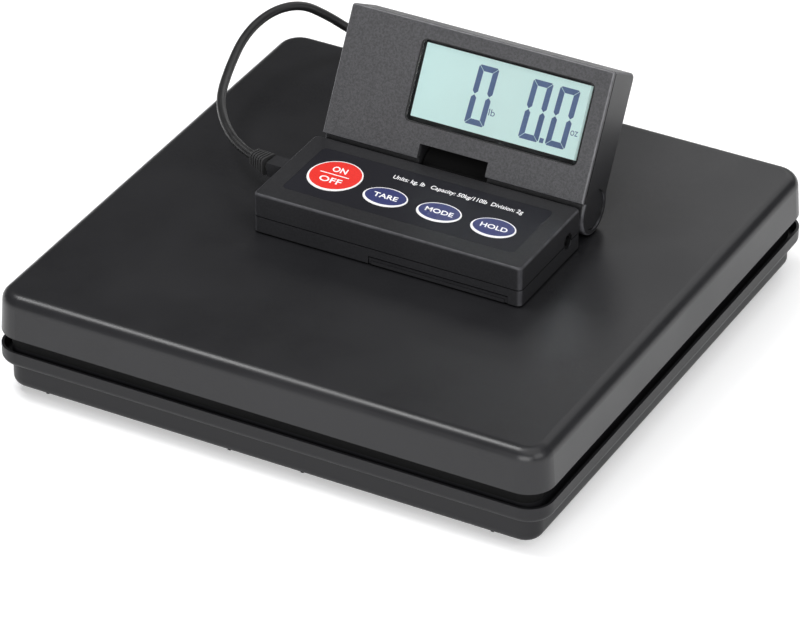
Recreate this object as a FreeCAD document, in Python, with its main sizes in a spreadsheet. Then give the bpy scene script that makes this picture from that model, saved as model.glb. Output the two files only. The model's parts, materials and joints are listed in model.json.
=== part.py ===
"""Platform shipping scale with a tethered, tilting display unit.

Frame: +X to the right along the front edge, -Y towards the user, +Z up. The origin is on the table,
under the middle of the platform. The display unit has a frame of its own, with its origin at the
front left bottom corner of the keypad housing: u right, v back, w up. The display panel has a third
frame on its hinge axis: X along the axis, Y towards the panel's back, Z up along the panel.
"""
import FreeCAD, Part
import Sketcher
import math
import os
import re

Vector = FreeCAD.Vector
X_AXIS = Vector(1, 0, 0)
Y_AXIS = Vector(0, 1, 0)
Z_AXIS = Vector(0, 0, 1)

os.makedirs("parts", exist_ok=True)
doc = FreeCAD.newDocument("shipping_scale")

# ---------------------------------------------------------------------------------------------
# Driving dimensions, in millimetres and degrees
# ---------------------------------------------------------------------------------------------
DIMENSIONS = {
    # platform cover: a moulded lid with its skirt
    "platform_width": 300,
    "platform_depth": 294,
    "platform_top": 57.4,
    "skirt_bottom": 34.9,
    "cover_wall": 2.5,
    "cover_corner": 14,
    "cover_edge": 6.5,
    "cover_draft": 3.6,
    # base tray: a tub with a wider rim
    "rim_top": 26.9,
    "rim_bottom": 18.4,
    "rim_edge": 3,
    "rim_wall": 1.3,
    "rim_corner": 13,
    "tub_bottom": 4,
    "tub_side": 5.4,
    "tub_inset": 4,
    "tub_edge": 4.5,
    "tub_corner": 9.2,
    "tray_wall": 2.5,
    "guard_top": 40,
    # feet, 4 off
    "foot_radius": 11,
    "foot_across": 115,
    "foot_along": 112,
    # steel frames that carry the load cell, pressed from sheet as an H
    "sheet": 2,
    "lower_web": 11,
    "lower_length": 230,
    "lower_depth": 170,
    "lower_flange": 8,
    "upper_web": 43,
    "upper_length": 250,
    "upper_depth": 230,
    "upper_flange": 10.4,
    "arm_width": 40,
    "bridge_width": 64,
    # load cell: a bending beam with a binocular hole
    "cell_length": 130,
    "cell_width": 30,
    "cell_bottom": 17,
    "cell_height": 22,
    "cell_hole": 8,
    "cell_hole_offset": 14,
    "spacer_length": 35,
    "bolt_radius": 3,
    "bolt_head_radius": 5,
    "bolt_head": 4,
    "bolt_outer": 57,
    "bolt_inner": 38,
    "bolt_depth": 12,
    # overload stops, frame screws, rubber buffers and cover screws
    "stop_across": 100,
    "stop_along": 70,
    "stop_gap": 0.6,
    "frame_screw_along": 45,
    "buffer_radius": 8,
    "buffer_along": 104,
    "cover_screw_along": 86,
    "screw_radius": 1.5,
    "screw_head_radius": 3,
    "screw_head": 2.2,
    "boss_radius": 4.5,
    # converter board in the tray
    "adc_left": -76,
    "adc_front": 92,
    "adc_length": 48,
    "adc_depth": 30,
    "adc_bottom": 8.5,
    "board": 1.6,
    # lead from the base to the display unit
    "lead_diameter": 4.7,
    "gland_across": -50,
    "gland_height": 13,
    "gland_reach": 17,
    # display unit: keypad housing
    "unit_left": -65.6,
    "unit_front": -37.5,
    "unit_length": 147.9,
    "unit_depth": 63.3,
    "unit_height": 22.4,
    "unit_split": 9.8,
    "parting_gap": 0.5,
    "parting_depth": 0.6,
    "unit_foot": 0.8,
    "unit_wall": 2,
    "unit_roof": 3,
    "unit_corner": 3,
    "unit_edge": 1.5,
    # keypad overlay and keys
    "overlay_left": 10,
    "overlay_front": 11,
    "overlay_width": 128,
    "overlay_back": 54,
    "overlay_depth": 0.4,
    "key_back": 26.8,
    "power_across": 28.1,
    "power_back": 32.5,
    "power_radius": 14,
    "tare_across": 59.3,
    "mode_across": 89,
    "hold_across": 118.8,
    "key_long": 11.8,
    "key_short": 8.3,
    "key_gap": 0.15,
    "key_rise": 0.15,
    "key_cap": 1.2,
    "key_travel": 0.4,
    "stem_radius": 2.6,
    "stem_bottom": 19,
    # main board, battery bay and door
    "main_board_bottom": 14.2,
    "cell_radius": 5.25,
    "cell_pitch": 10.8,
    "battery_length": 44.5,
    "battery_left": 66.4,
    "battery_front": 7,
    "bay_wall": 1.2,
    "door_left": 64.6,
    "door_width": 75.9,
    "door_depth": 56,
    "door_sheet": 1.8,
    "door_lip": 4.2,
    "door_gap": 0.3,
    "door_line": 0.8,
    "door_back": 0.4,
    "tongue": 1.6,
    # power inlet
    "jack_back": 49.8,
    "jack_height": 10.8,
    "jack_opening": 4.25,
    "jack_bore": 2.75,
    "jack_pin": 1.05,
    # strain relief on the left of the keypad housing
    "relief_back": 32.2,
    "relief_height": 18.2,
    "relief_boss": 8,
    "relief_width": 8.8,
    "relief_reach": 12,
    "relief_core": 2.7,
    "relief_pitch": 1.9,
    "relief_rib": 1.1,
    "relief_first": 1.3,
    "relief_start": 9.8,
    "relief_taper": 0.42,
    "relief_lean": 18,
    "relief_round": 2.4,
    # hinge
    "hinge_back": 78,
    "hinge_up": 13.4,
    "panel_tilt": 29,
    "knuckle": 13.2,
    "lug_radius": 9.5,
    "lug_well": 10.2,
    "lug_gap": 0.7,
    "pin_radius": 2.5,
    "pin_gap": 0.05,
    "bush_radius": 4.5,
    "cap_radius": 10.2,
    "cap_recess": 2.2,
    "cap_sheet": 1.2,
    # display panel, measured in its own frame
    "panel_left": 3,
    "panel_width": 145.2,
    "panel_top": 68.9,
    "panel_foot": 2.5,
    "panel_front": 16.9,
    "panel_back": 9.9,
    "panel_wall": 2,
    "panel_round": 3,
    "face_sheet": 2,
    "panel_edge": 1.5,
    "face_round": 1,
    "groove": 0.8,
    "groove_depth": 1.1,
    "notch_left": 56.3,
    "notch_width": 38,
    "notch_top": 10,
    # opening of the panel's face, and the glass behind it
    "window_left": 44.6,
    "window_bottom": 19.2,
    "window_width": 95.6,
    "window_height": 41.9,
    "window_corner": 3,
    "window_sunk": 1.6,
    "window_sheet": 1.4,
    "glass_sheet": 2.6,
    "light_sheet": 2.8,
}

sheet = doc.addObject("Spreadsheet::Sheet", "Sizes")
for row, (alias, size) in enumerate(DIMENSIONS.items(), start=1):
    sheet.set(f"A{row}", alias)
    sheet.set(f"B{row}", str(size))
    sheet.setAlias(f"B{row}", alias)
doc.recompute()


def linked(text):
    """Turns 'cover_wall * 2' into an expression on the sheet's cells."""
    return re.sub(r"[a-z][a-z_]+", lambda word: "Sizes." + word.group(), str(text))


def size(text):
    """The value of an expression, for the pieces that need a plain number."""
    return float(sheet.evalExpression(linked(text)))


def bind(thing, prop, text):
    thing.setExpression(prop, linked(text))


def move(thing, at, turn=None):
    """Binds a place, after an optional fixed rotation."""
    if turn:
        thing.Placement = FreeCAD.Placement(Vector(), turn)
    for axis, text in zip("xyz", at):
        bind(thing, "Placement.Base." + axis, text)
    return thing


# ---------------------------------------------------------------------------------------------
# Part primitives bound to the sheet
# ---------------------------------------------------------------------------------------------
ALONG = {
    "x": FreeCAD.Rotation(Y_AXIS, 90),
    "y": FreeCAD.Rotation(X_AXIS, -90),
    "z": FreeCAD.Rotation(),
}


def box(name, at, extent):
    solid = doc.addObject("Part::Box", name)
    for prop, text in zip(("Length", "Width", "Height"), extent):
        bind(solid, prop, text)
    return move(solid, at)


def rod(name, at, radius, length, along="z"):
    solid = doc.addObject("Part::Cylinder", name)
    bind(solid, "Radius", radius)
    bind(solid, "Height", length)
    return move(solid, at, ALONG[along])


def cone(name, at, radius, end_radius, length, along="z"):
    solid = doc.addObject("Part::Cone", name)
    bind(solid, "Radius1", radius)
    bind(solid, "Radius2", end_radius)
    bind(solid, "Height", length)
    return move(solid, at, ALONG[along])


def oval(name, at, long_radius, short_radius, length):
    """An upright elliptical disc."""
    outline = doc.addObject("Part::Ellipse", name + "_outline")
    bind(outline, "MajorRadius", long_radius)
    bind(outline, "MinorRadius", short_radius)
    move(outline, at)
    solid = doc.addObject("Part::Extrusion", name)
    solid.Base = outline
    solid.DirMode = "Custom"
    solid.Dir = Z_AXIS
    solid.Solid = True
    bind(solid, "LengthFwd", length)
    return solid


def fuse(name, pieces):
    solid = doc.addObject("Part::MultiFuse", name)
    solid.Shapes = pieces
    return solid


def cut(name, base, tools):
    solid = doc.addObject("Part::Cut", name)
    solid.Base = base
    solid.Tool = tools[0] if len(tools) == 1 else fuse(name + "_tools", tools)
    return solid


def group(name, pieces):
    """Separate solids that share one node."""
    solid = doc.addObject("Part::Compound", name)
    solid.Links = pieces
    return solid


def round_edges(name, base, radius, wanted):
    """Fillets the edges that the test picks."""
    doc.recompute()
    solid = doc.addObject("Part::Fillet", name)
    solid.Base = base
    numbers = [i for i, edge in enumerate(base.Shape.Edges, start=1) if wanted(edge)]
    solid.Edges = [(number, size(radius), size(radius)) for number in numbers]
    return solid


# ---------------------------------------------------------------------------------------------
# PartDesign bodies with rounded rectangular outlines
# ---------------------------------------------------------------------------------------------
def new_body(name):
    return doc.addObject("PartDesign::Body", name)


def level_sketch(body, name, level):
    """A sketch parallel to the body's XY plane, at a bound height."""
    sketch = body.newObject("Sketcher::SketchObject", name)
    planes = [plane for plane in body.Origin.OriginFeatures if plane.Role == "XY_Plane"]
    sketch.AttachmentSupport = (planes[0], [""])
    sketch.MapMode = "FlatFace"
    bind(sketch, "AttachmentOffset.Base.z", level)
    return sketch


def name_constraint(sketch, name, text, *arguments):
    """Adds a driving dimension, and binds it to the sheet."""
    number = sketch.addConstraint(Sketcher.Constraint(*arguments))
    sketch.renameConstraint(number, name)
    bind(sketch, "Constraints." + name, text)


def outline(sketch, left, front, width, depth, corner):
    """Draws a rectangle with round corners, all of it bound."""
    x0, y0, radius = size(left), size(front), size(corner)
    x1, y1 = x0 + size(width), y0 + size(depth)
    corners = [(x1, y0, -1, 1), (x1, y1, -1, -1), (x0, y1, 1, -1), (x0, y0, 1, 1)]
    middles = [Vector(x + dx * radius, y + dy * radius, 0) for x, y, dx, dy in corners]
    quarter = math.pi / 2
    for number, middle in enumerate(middles):
        start = (number - 1) * quarter
        circle = Part.Circle(middle, Z_AXIS, radius)
        sketch.addGeometry(Part.ArcOfCircle(circle, start, start + quarter))
    for number in range(4):
        here = sketch.Geometry[number].EndPoint
        there = sketch.Geometry[(number + 1) % 4].StartPoint
        sketch.addGeometry(Part.LineSegment(here, there))
    for number in range(4):
        line = 4 + number
        sketch.addConstraint(Sketcher.Constraint("Tangent", number, 2, line, 1))
        sketch.addConstraint(Sketcher.Constraint("Tangent", line, 2, (number + 1) % 4, 1))
    for line, direction in ((4, "Vertical"), (5, "Horizontal")):
        sketch.addConstraint(Sketcher.Constraint(direction, line))
        sketch.addConstraint(Sketcher.Constraint(direction, line + 2))
    for number in (1, 2):
        sketch.addConstraint(Sketcher.Constraint("Equal", 0, number))
    name_constraint(sketch, "corner", corner, "Radius", 0, radius)
    name_constraint(sketch, "width", width, "DistanceX", 6, 1, 4, 1, x1 - x0)
    name_constraint(sketch, "depth", depth, "DistanceY", 7, 1, 5, 1, y1 - y0)
    name_constraint(sketch, "left", left, "DistanceX", -1, 1, 6, 1, x0)
    name_constraint(sketch, "front", front, "DistanceY", -1, 1, 7, 1, y0)


def rounded_pad(body, name, place, extent, corner, draft=None):
    """Adds material: place is left, front and bottom, extent is width, depth and height.

    A draft, in degrees, leans the walls inwards as they rise.
    """
    sketch = level_sketch(body, name + "_outline", place[2])
    outline(sketch, place[0], place[1], extent[0], extent[1], corner)
    pad = body.newObject("PartDesign::Pad", name)
    pad.Profile = sketch
    bind(pad, "Length", extent[2])
    if draft:
        bind(pad, "TaperAngle", f"-{draft}")
    doc.recompute()
    return pad


def rounded_pocket(body, name, place, extent, corner):
    """Removes material upwards from its bottom, and checks that it cut something."""
    before = body.Shape.Volume
    sketch = level_sketch(body, name + "_outline", place[2])
    outline(sketch, place[0], place[1], extent[0], extent[1], corner)
    pocket = body.newObject("PartDesign::Pocket", name)
    pocket.Profile = sketch
    pocket.Reversed = True
    bind(pocket, "Length", extent[2])
    doc.recompute()
    if body.Shape.Volume > before - 1:
        raise RuntimeError(name + " cut nothing")
    return pocket


def body_fillet(body, name, base, radius, wanted):
    """Rounds the edges of a feature that the test picks."""
    doc.recompute()
    numbers = [i for i, edge in enumerate(base.Shape.Edges, start=1) if wanted(edge)]
    fillet = body.newObject("PartDesign::Fillet", name)
    fillet.Base = (base, [f"Edge{number}" for number in numbers])
    bind(fillet, "Radius", radius)
    doc.recompute()
    return fillet


def at_level(level):
    """A test for edges that lie wholly at one height."""
    height = size(level)

    def wanted(edge):
        bounds = edge.BoundBox
        return max(abs(bounds.ZMin - height), abs(bounds.ZMax - height)) < 1e-4

    return wanted


# ---------------------------------------------------------------------------------------------
# Nodes, and the three frames that they stand in
# ---------------------------------------------------------------------------------------------
NODES = {}


def keep(name, thing):
    """Names a finished piece that stands in the scale's own frame."""
    thing.Label = name
    NODES[name] = thing
    return thing


def framed(name, thing):
    """A primitive's own place is taken, so it goes into a compound, which can be placed again."""
    if thing.TypeId in ("Part::Box", "Part::Cylinder", "Part::Cone"):
        return group(name + "_piece", [thing])
    return thing


def keep_on_unit(name, thing):
    """Names a finished piece of the keypad housing, and puts it in its place on the platform."""
    thing = framed(name, thing)
    move(thing, ("unit_left", "unit_front", "platform_top"))
    return keep(name, thing)


def keep_on_panel(name, thing):
    """Names a finished piece of the display panel, and tilts it about the hinge."""
    thing = framed(name, thing)
    thing.Placement = FreeCAD.Placement(Vector(), FreeCAD.Rotation(X_AXIS, -size("panel_tilt")))
    bind(thing, "Placement.Rotation.Angle", "-panel_tilt")
    move(thing, ("unit_left", "unit_front + hinge_back", "platform_top + hinge_up"))
    return keep(name, thing)


CORNERS = [(-1, -1), (1, -1), (1, 1), (-1, 1)]


def four(name, across, along, make):
    """Four copies of one piece, one in each quarter of the plan."""
    copies = []
    for number, (side, end) in enumerate(CORNERS):
        copies.append(make(f"{name}_{number}", f"{side} * ({across})", f"{end} * ({along})"))
    return copies


# ---------------------------------------------------------------------------------------------
# Base: tray, feet, lower frame, load cell and converter board
# ---------------------------------------------------------------------------------------------
def make_base_tray():
    """A moulded tub with a wider rim, and a wall that rises inside the cover's skirt as a dust guard.

    The floor carries bosses for the steel frame and posts for the board.
    """
    body = new_body("tray_body")
    rim = rounded_pad(
        body, "rim",
        ("-platform_width / 2", "-platform_depth / 2", "rim_bottom"),
        ("platform_width", "platform_depth", "rim_top - rim_bottom"),
        "rim_corner",
    )
    rim = body_fillet(body, "rim_round", rim, "rim_edge", at_level("rim_bottom"))
    rounded_pocket(
        body, "rim_hollow",
        ("-platform_width / 2 + rim_wall", "-platform_depth / 2 + rim_wall", "rim_bottom + rim_edge"),
        ("platform_width - 2 * rim_wall", "platform_depth - 2 * rim_wall", "rim_top"),
        "rim_corner - rim_wall",
    )
    tub = rounded_pad(
        body, "tub",
        ("-platform_width / 2 + tub_side", "-platform_depth / 2 + tub_inset", "tub_bottom"),
        ("platform_width - 2 * tub_side", "platform_depth - 2 * tub_inset", "guard_top - tub_bottom"),
        "tub_corner",
    )
    body_fillet(body, "tub_round", tub, "tub_edge", at_level("tub_bottom"))
    inner = "tub_inset + tray_wall"
    inner_side = "tub_side + tray_wall"
    rounded_pocket(
        body, "tub_hollow",
        (f"-platform_width / 2 + {inner_side}", f"-platform_depth / 2 + {inner}", "tub_bottom + tray_wall"),
        (f"platform_width - 2 * ({inner_side})", f"platform_depth - 2 * ({inner})", "guard_top"),
        "tub_corner - tray_wall",
    )
    floor = "tub_bottom + tray_wall"
    bosses = four(
        "tray_boss", "stop_across", "frame_screw_along",
        lambda name, x, y: rod(name, (x, y, "tub_bottom + 1"), "boss_radius + 2", "lower_web - tub_bottom - 1"),
    )
    posts = []
    for side in (0, 1):
        for end in (0, 1):
            posts.append(rod(
                f"board_post_{side}{end}",
                (f"adc_left + 4 + {side} * (adc_length - 8)", f"adc_front + 4 + {end} * (adc_depth - 8)",
                 "tub_bottom + 1"),
                2.5, "adc_bottom - tub_bottom - 1",
            ))
    ribs = []
    for number, across in enumerate((-122, -20, 20, 122)):
        ribs.append(box(
            f"floor_rib_{number}", (across - 0.75, "-platform_depth / 2 + tub_inset + 1", "tub_bottom + 1"),
            (1.5, "platform_depth - 2 * tub_inset - 2", "tray_wall + 0.8"),
        ))
    solid = fuse("tray_with_bosses", [body] + bosses + posts + ribs)
    holes = four(
        "tray_boss_hole", "stop_across", "frame_screw_along",
        lambda name, x, y: rod(name, (x, y, floor), "screw_radius", "lower_web"),
    )
    gland = rod(
        "gland_hole", ("gland_across", "platform_depth / 2 - tub_inset - tray_wall - 1", "gland_height"),
        "3.5", "tray_wall + 2", "y",
    )
    keep("base_tray", cut("tray_cut", solid, holes + [gland]))


def make_feet():
    feet = four(
        "foot", "foot_across", "foot_along",
        lambda name, x, y: cone(name, (x, y, 0), "foot_radius - 1.2", "foot_radius", "tub_bottom"),
    )
    keep("rubber_feet", group("feet", feet))


def pressed_frame(name, bottom, length, depth, flange):
    """An H of sheet steel: two arms and a bridge, with an upstanding edge all round."""

    def plan(part, inset, level, rise):
        arm = f"arm_width - 2 * {inset}"
        run = f"{depth} - 2 * {inset}"
        arms = [
            box(f"{name}_{part}_left", (f"-{length} / 2 + {inset}", f"-{depth} / 2 + {inset}", level),
                (arm, run, rise)),
            box(f"{name}_{part}_right", (f"{length} / 2 - arm_width + {inset}", f"-{depth} / 2 + {inset}", level),
                (arm, run, rise)),
        ]
        bridge = box(
            f"{name}_{part}_bridge", (f"-{length} / 2 + {inset}", f"-bridge_width / 2 + {inset}", level),
            (f"{length} - 2 * {inset}", f"bridge_width - 2 * {inset}", rise),
        )
        return fuse(f"{name}_{part}", arms + [bridge])

    outside = plan("outside", "0", bottom, flange)
    inside = plan("inside", "sheet", f"{bottom} + sheet", flange)
    return cut(name + "_tray", outside, [inside])


def bolt_pair(name, side, level, length):
    """Two bolt shanks along the load cell's middle."""
    places = [f"{side} * bolt_outer", f"{side} * bolt_inner"]
    return [rod(f"{name}_{i}", (x, 0, level), "bolt_radius", length) for i, x in enumerate(places)]


def make_lower_frame():
    blank = pressed_frame("lower", "lower_web", "lower_length", "lower_depth", "lower_flange")
    holes = bolt_pair("lower_hole", -1, "lower_web - 1", "sheet + 2")
    holes += four(
        "lower_fixing", "stop_across", "frame_screw_along",
        lambda name, x, y: rod(name, (x, y, "lower_web - 1"), "screw_radius", "sheet + 2"),
    )
    holes += four(
        "lower_stop", "stop_across", "stop_along",
        lambda name, x, y: rod(name, (x, y, "lower_web - 1"), "bolt_radius", "sheet + 2"),
    )
    keep("lower_frame", cut("lower_frame_cut", blank, holes))
    screws = []
    for number, (side, end) in enumerate(CORNERS):
        at = (f"{side} * stop_across", f"{end} * frame_screw_along")
        screws.append(screw(f"frame_screw_{number}", at, "lower_web + sheet", 6, "down"))
    keep("frame_screws", group("frame_screw_set", screws))
    keep("overload_stops", group("stop_set", four("stop", "stop_across", "stop_along", overload_stop)))


def screw(name, at, seat, length, way):
    """A pan-head screw with a cross slot, its head on the seat; the shank goes down or up from it."""
    head_at = seat if way == "down" else f"{seat} - screw_head"
    shank_at = f"{seat} - {length}" if way == "down" else seat
    head = rod(name + "_head", (*at, head_at), "screw_head_radius", "screw_head")
    shank = rod(name + "_shank", (*at, shank_at), "screw_radius", length)
    slot_at = f"{seat} + screw_head - 0.8" if way == "down" else f"{seat} - screw_head - 0.2"
    slots = [
        box(name + "_slot_a", (f"{at[0]} - 1.8", f"{at[1]} - 0.4", slot_at), (3.6, 0.8, 1)),
        box(name + "_slot_b", (f"{at[0]} - 0.4", f"{at[1]} - 1.8", slot_at), (0.8, 3.6, 1)),
    ]
    return cut(name, fuse(name + "_blank", [head, shank]), slots)


def overload_stop(name, x, y):
    """A stud through the lower frame with a nut on each side, short of the upper frame by the gap."""
    stud = rod(name + "_stud", (x, y, "lower_web - 4"), "bolt_radius",
               "upper_web - lower_web + 4 - stop_gap")
    nuts = []
    for level in ("lower_web + sheet", "lower_web - 3"):
        nut = doc.addObject("Part::Prism", f"{name}_nut_{len(nuts)}")
        nut.Polygon = 6
        bind(nut, "Circumradius", "bolt_radius * 1.9")
        bind(nut, "Height", 3)
        nuts.append(move(nut, (x, y, level)))
    return fuse(name, [stud] + nuts)


def make_load_cell():
    half = "cell_length / 2"
    middle = "cell_bottom + cell_height / 2"
    beam = box("cell_beam", (f"-{half}", "-cell_width / 2", "cell_bottom"),
               ("cell_length", "cell_width", "cell_height"))
    tools = []
    for side in (-1, 1):
        tools.append(rod(f"cell_bore_{side + 1}", (f"{side} * cell_hole_offset", "-cell_width", middle),
                         "cell_hole", "2 * cell_width", "y"))
    tools.append(box("cell_waist", ("-cell_hole_offset", "-cell_width", f"{middle} - 3.5"),
                     ("2 * cell_hole_offset", "2 * cell_width", 7)))
    tools += bolt_pair("cell_thread_low", -1, "cell_bottom - 1", "bolt_depth + 1")
    tools += bolt_pair("cell_thread_high", 1, "cell_bottom + cell_height - bolt_depth", "bolt_depth + 1")
    keep("load_cell", cut("cell_cut", beam, tools))

    covers = []
    for number, level in enumerate(("cell_bottom + cell_height", "cell_bottom - 1.5")):
        covers.append(box(f"gauge_cover_{number}", (-24, -13, level), (48, 26, 1.5)))
    keep("gauge_covers", group("gauge_cover_pair", covers))

    lower = box("lower_spacer_block", (f"-{half}", "-cell_width / 2", "lower_web + sheet"),
                ("spacer_length", "cell_width", "cell_bottom - lower_web - sheet"))
    keep("lower_spacer", cut("lower_spacer_cut", lower, bolt_pair("lower_spacer_hole", -1, "lower_web", 9)))
    top = "cell_bottom + cell_height"
    upper = box("upper_spacer_block", (f"{half} - spacer_length", "-cell_width / 2", top),
                ("spacer_length", "cell_width", f"upper_web - ({top})"))
    keep("upper_spacer", cut("upper_spacer_cut", upper, bolt_pair("upper_spacer_hole", 1, f"{top} - 1", 9)))


def socket_bolts(name, side, seat, way):
    """Two low-head socket bolts: heads on the frame's web, shanks into the load cell."""
    length = "bolt_depth + 4 + sheet"
    pieces = []
    for number, place in enumerate((f"{side} * bolt_outer", f"{side} * bolt_inner")):
        head_at = f"{seat} - bolt_head" if way == "up" else seat
        shank_at = seat if way == "up" else f"{seat} - ({length})"
        socket_at = f"{seat} - bolt_head - 1" if way == "up" else f"{seat} + bolt_head - 2"
        head = rod(f"{name}_head_{number}", (place, 0, head_at), "bolt_head_radius", "bolt_head")
        shank = rod(f"{name}_shank_{number}", (place, 0, shank_at), "bolt_radius", length)
        socket = doc.addObject("Part::Prism", f"{name}_socket_{number}")
        socket.Polygon = 6
        bind(socket, "Circumradius", 2.8)
        bind(socket, "Height", 3)
        move(socket, (place, 0, socket_at))
        pieces.append(cut(f"{name}_{number}", fuse(f"{name}_blank_{number}", [head, shank]), [socket]))
    return group(name, pieces)


def make_converter_board():
    """The board that reads the load cell, with its chip and the two lead sockets."""
    top = "adc_bottom + board"
    plate = box("adc_plate", ("adc_left", "adc_front", "adc_bottom"), ("adc_length", "adc_depth", "board"))
    pieces = [
        plate,
        box("adc_chip", ("adc_left + 18", "adc_front + 11", top), (10, 8, 1.8)),
        box("adc_rear_socket", ("gland_across - 6", "adc_front + adc_depth - 7", top), (12, 7, 6)),
        box("adc_front_socket", ("adc_left + 10", "adc_front", top), (12, 7, 6)),
        rod("adc_capacitor", ("adc_left + 8", "adc_front + 20", top), 3, 7),
    ]
    keep("converter_board", fuse("adc_board", pieces))


# ---------------------------------------------------------------------------------------------
# Leads: straight runs joined by arcs as large as their runs allow
# ---------------------------------------------------------------------------------------------
def lead_path(points):
    """The path of a lead as one wire, with the radius of every bend."""
    edges = []
    radii = []
    start = points[0]
    for before, corner, after in zip(points, points[1:], points[2:]):
        back = (before - corner).normalize()
        ahead = (after - corner).normalize()
        turn = math.pi - back.getAngle(ahead)
        reach = 0.45 * min((before - corner).Length, (after - corner).Length)
        radius = reach / math.tan(turn / 2)
        bend_start = corner + back * reach
        bend_end = corner + ahead * reach
        inward = (back + ahead).normalize()
        centre = corner + inward * math.hypot(radius, reach)
        edges.append(Part.LineSegment(start, bend_start).toShape())
        edges.append(Part.Arc(bend_start, centre - inward * radius, bend_end).toShape())
        radii.append(radius)
        start = bend_end
    edges.append(Part.LineSegment(start, points[-1]).toShape())
    return Part.Wire(edges), radii


def make_lead(name, points, diameter):
    """A round tube along the path, checked against section times length."""
    points = [Vector(*point) for point in points]
    path, radii = lead_path(points)
    section = Part.Circle(points[0], points[1] - points[0], diameter / 2).toShape()
    tube = path.makePipeShell([Part.Wire(section)], True, False)
    expected = math.pi * diameter ** 2 / 4 * path.Length
    print(name, "length", round(path.Length, 1), "volume ratio", round(tube.Volume / expected, 4))
    print(name, "radii", [round(radius, 1) for radius in radii])
    thing = doc.addObject("Part::Feature", name + "_tube")
    thing.Shape = tube
    keep(name, thing)


def unit_point(u, v, w):
    """A point of the display unit, in the scale's frame."""
    return (size("unit_left") + u, size("unit_front") + v, size("platform_top") + w)


def make_leads():
    """The lead leaves the keypad housing at its left, arches back over the platform's corner and drops
    behind it to the base's rear wall."""
    lean = math.radians(size("relief_lean"))
    ahead = Vector(-math.cos(lean), math.sin(lean), 0)
    boss_face = Vector(*unit_point(-size("relief_boss"), size("relief_back"), size("relief_height")))
    relief_end = boss_face + ahead * size("relief_reach")
    gland_end = (
        size("gland_across"),
        size("platform_depth / 2 - tub_inset") + size("gland_reach"),
        size("gland_height"),
    )
    gx, gy, gz = gland_end
    route = [
        relief_end,
        relief_end + ahead * 8,
        (-108.5, 11.5, 77),
        (-124.5, 31, 79.5),
        (-133.5, 56.5, 83),
        (-138.5, 82, 89),
        (-135.5, 103.5, 92.5),
        (-126.5, 119, 91.5),
        (-116.5, 128, 83),
        (-109.5, 138.5, 71.5),
        (-104.5, 151, 60),
        (-99.5, 165, 49.5),
        (-97.5, 181.5, 43),
        (-89, 192.5, 37.5),
        (-78, 197.5, 31.5),
        (-67, 197, 25.5),
        (-58, 191.5, 20),
        (-52.5, 183, 16),
        (gx, gy + 13.5, gz),
        gland_end,
    ]
    make_lead("display_lead", route, size("lead_diameter"))

    cell_side = size("cell_width / 2")
    inner = [
        (-22, cell_side, 23),
        (-22, cell_side + 20, 23),
        (-31, 54, 19),
        (-50, 65, 14.5),
        (-60, 78, 13.5),
        (-60, size("adc_front"), 13.5),
    ]
    make_lead("cell_lead", inner, 3)
    feed = rod("feed_rod", ("gland_across", "adc_front + adc_depth", "gland_height"), "lead_diameter / 2",
               "platform_depth / 2 - tub_inset - tray_wall - 2 - adc_front - adc_depth", "y")
    keep("feed_lead", feed)


def make_rear_relief():
    """A flanged grommet through the tray's back wall, with a ribbed tapering sleeve outside."""
    wall_out = "platform_depth / 2 - tub_inset"
    wall_in = f"{wall_out} - tray_wall"
    at = ("gland_across", f"{wall_in} - 2", "gland_height")
    pieces = [
        rod("grommet_flange", at, 5, 2, "y"),
        rod("grommet_neck", ("gland_across", wall_in, "gland_height"), 3.5, "tray_wall", "y"),
        cone("grommet_sleeve", ("gland_across", wall_out, "gland_height"), 4.2, 3.2, "gland_reach", "y"),
        rod("grommet_collar", ("gland_across", wall_out, "gland_height"), 5, 1.8, "y"),
    ]
    for number in range(5):
        pieces.append(rod(f"grommet_rib_{number}", ("gland_across", f"{wall_out} + {3.4 + 2.7 * number}",
                                                    "gland_height"), 4.8 - 0.2 * number, 1.3, "y"))
    keep("rear_relief", fuse("rear_grommet", pieces))


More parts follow.
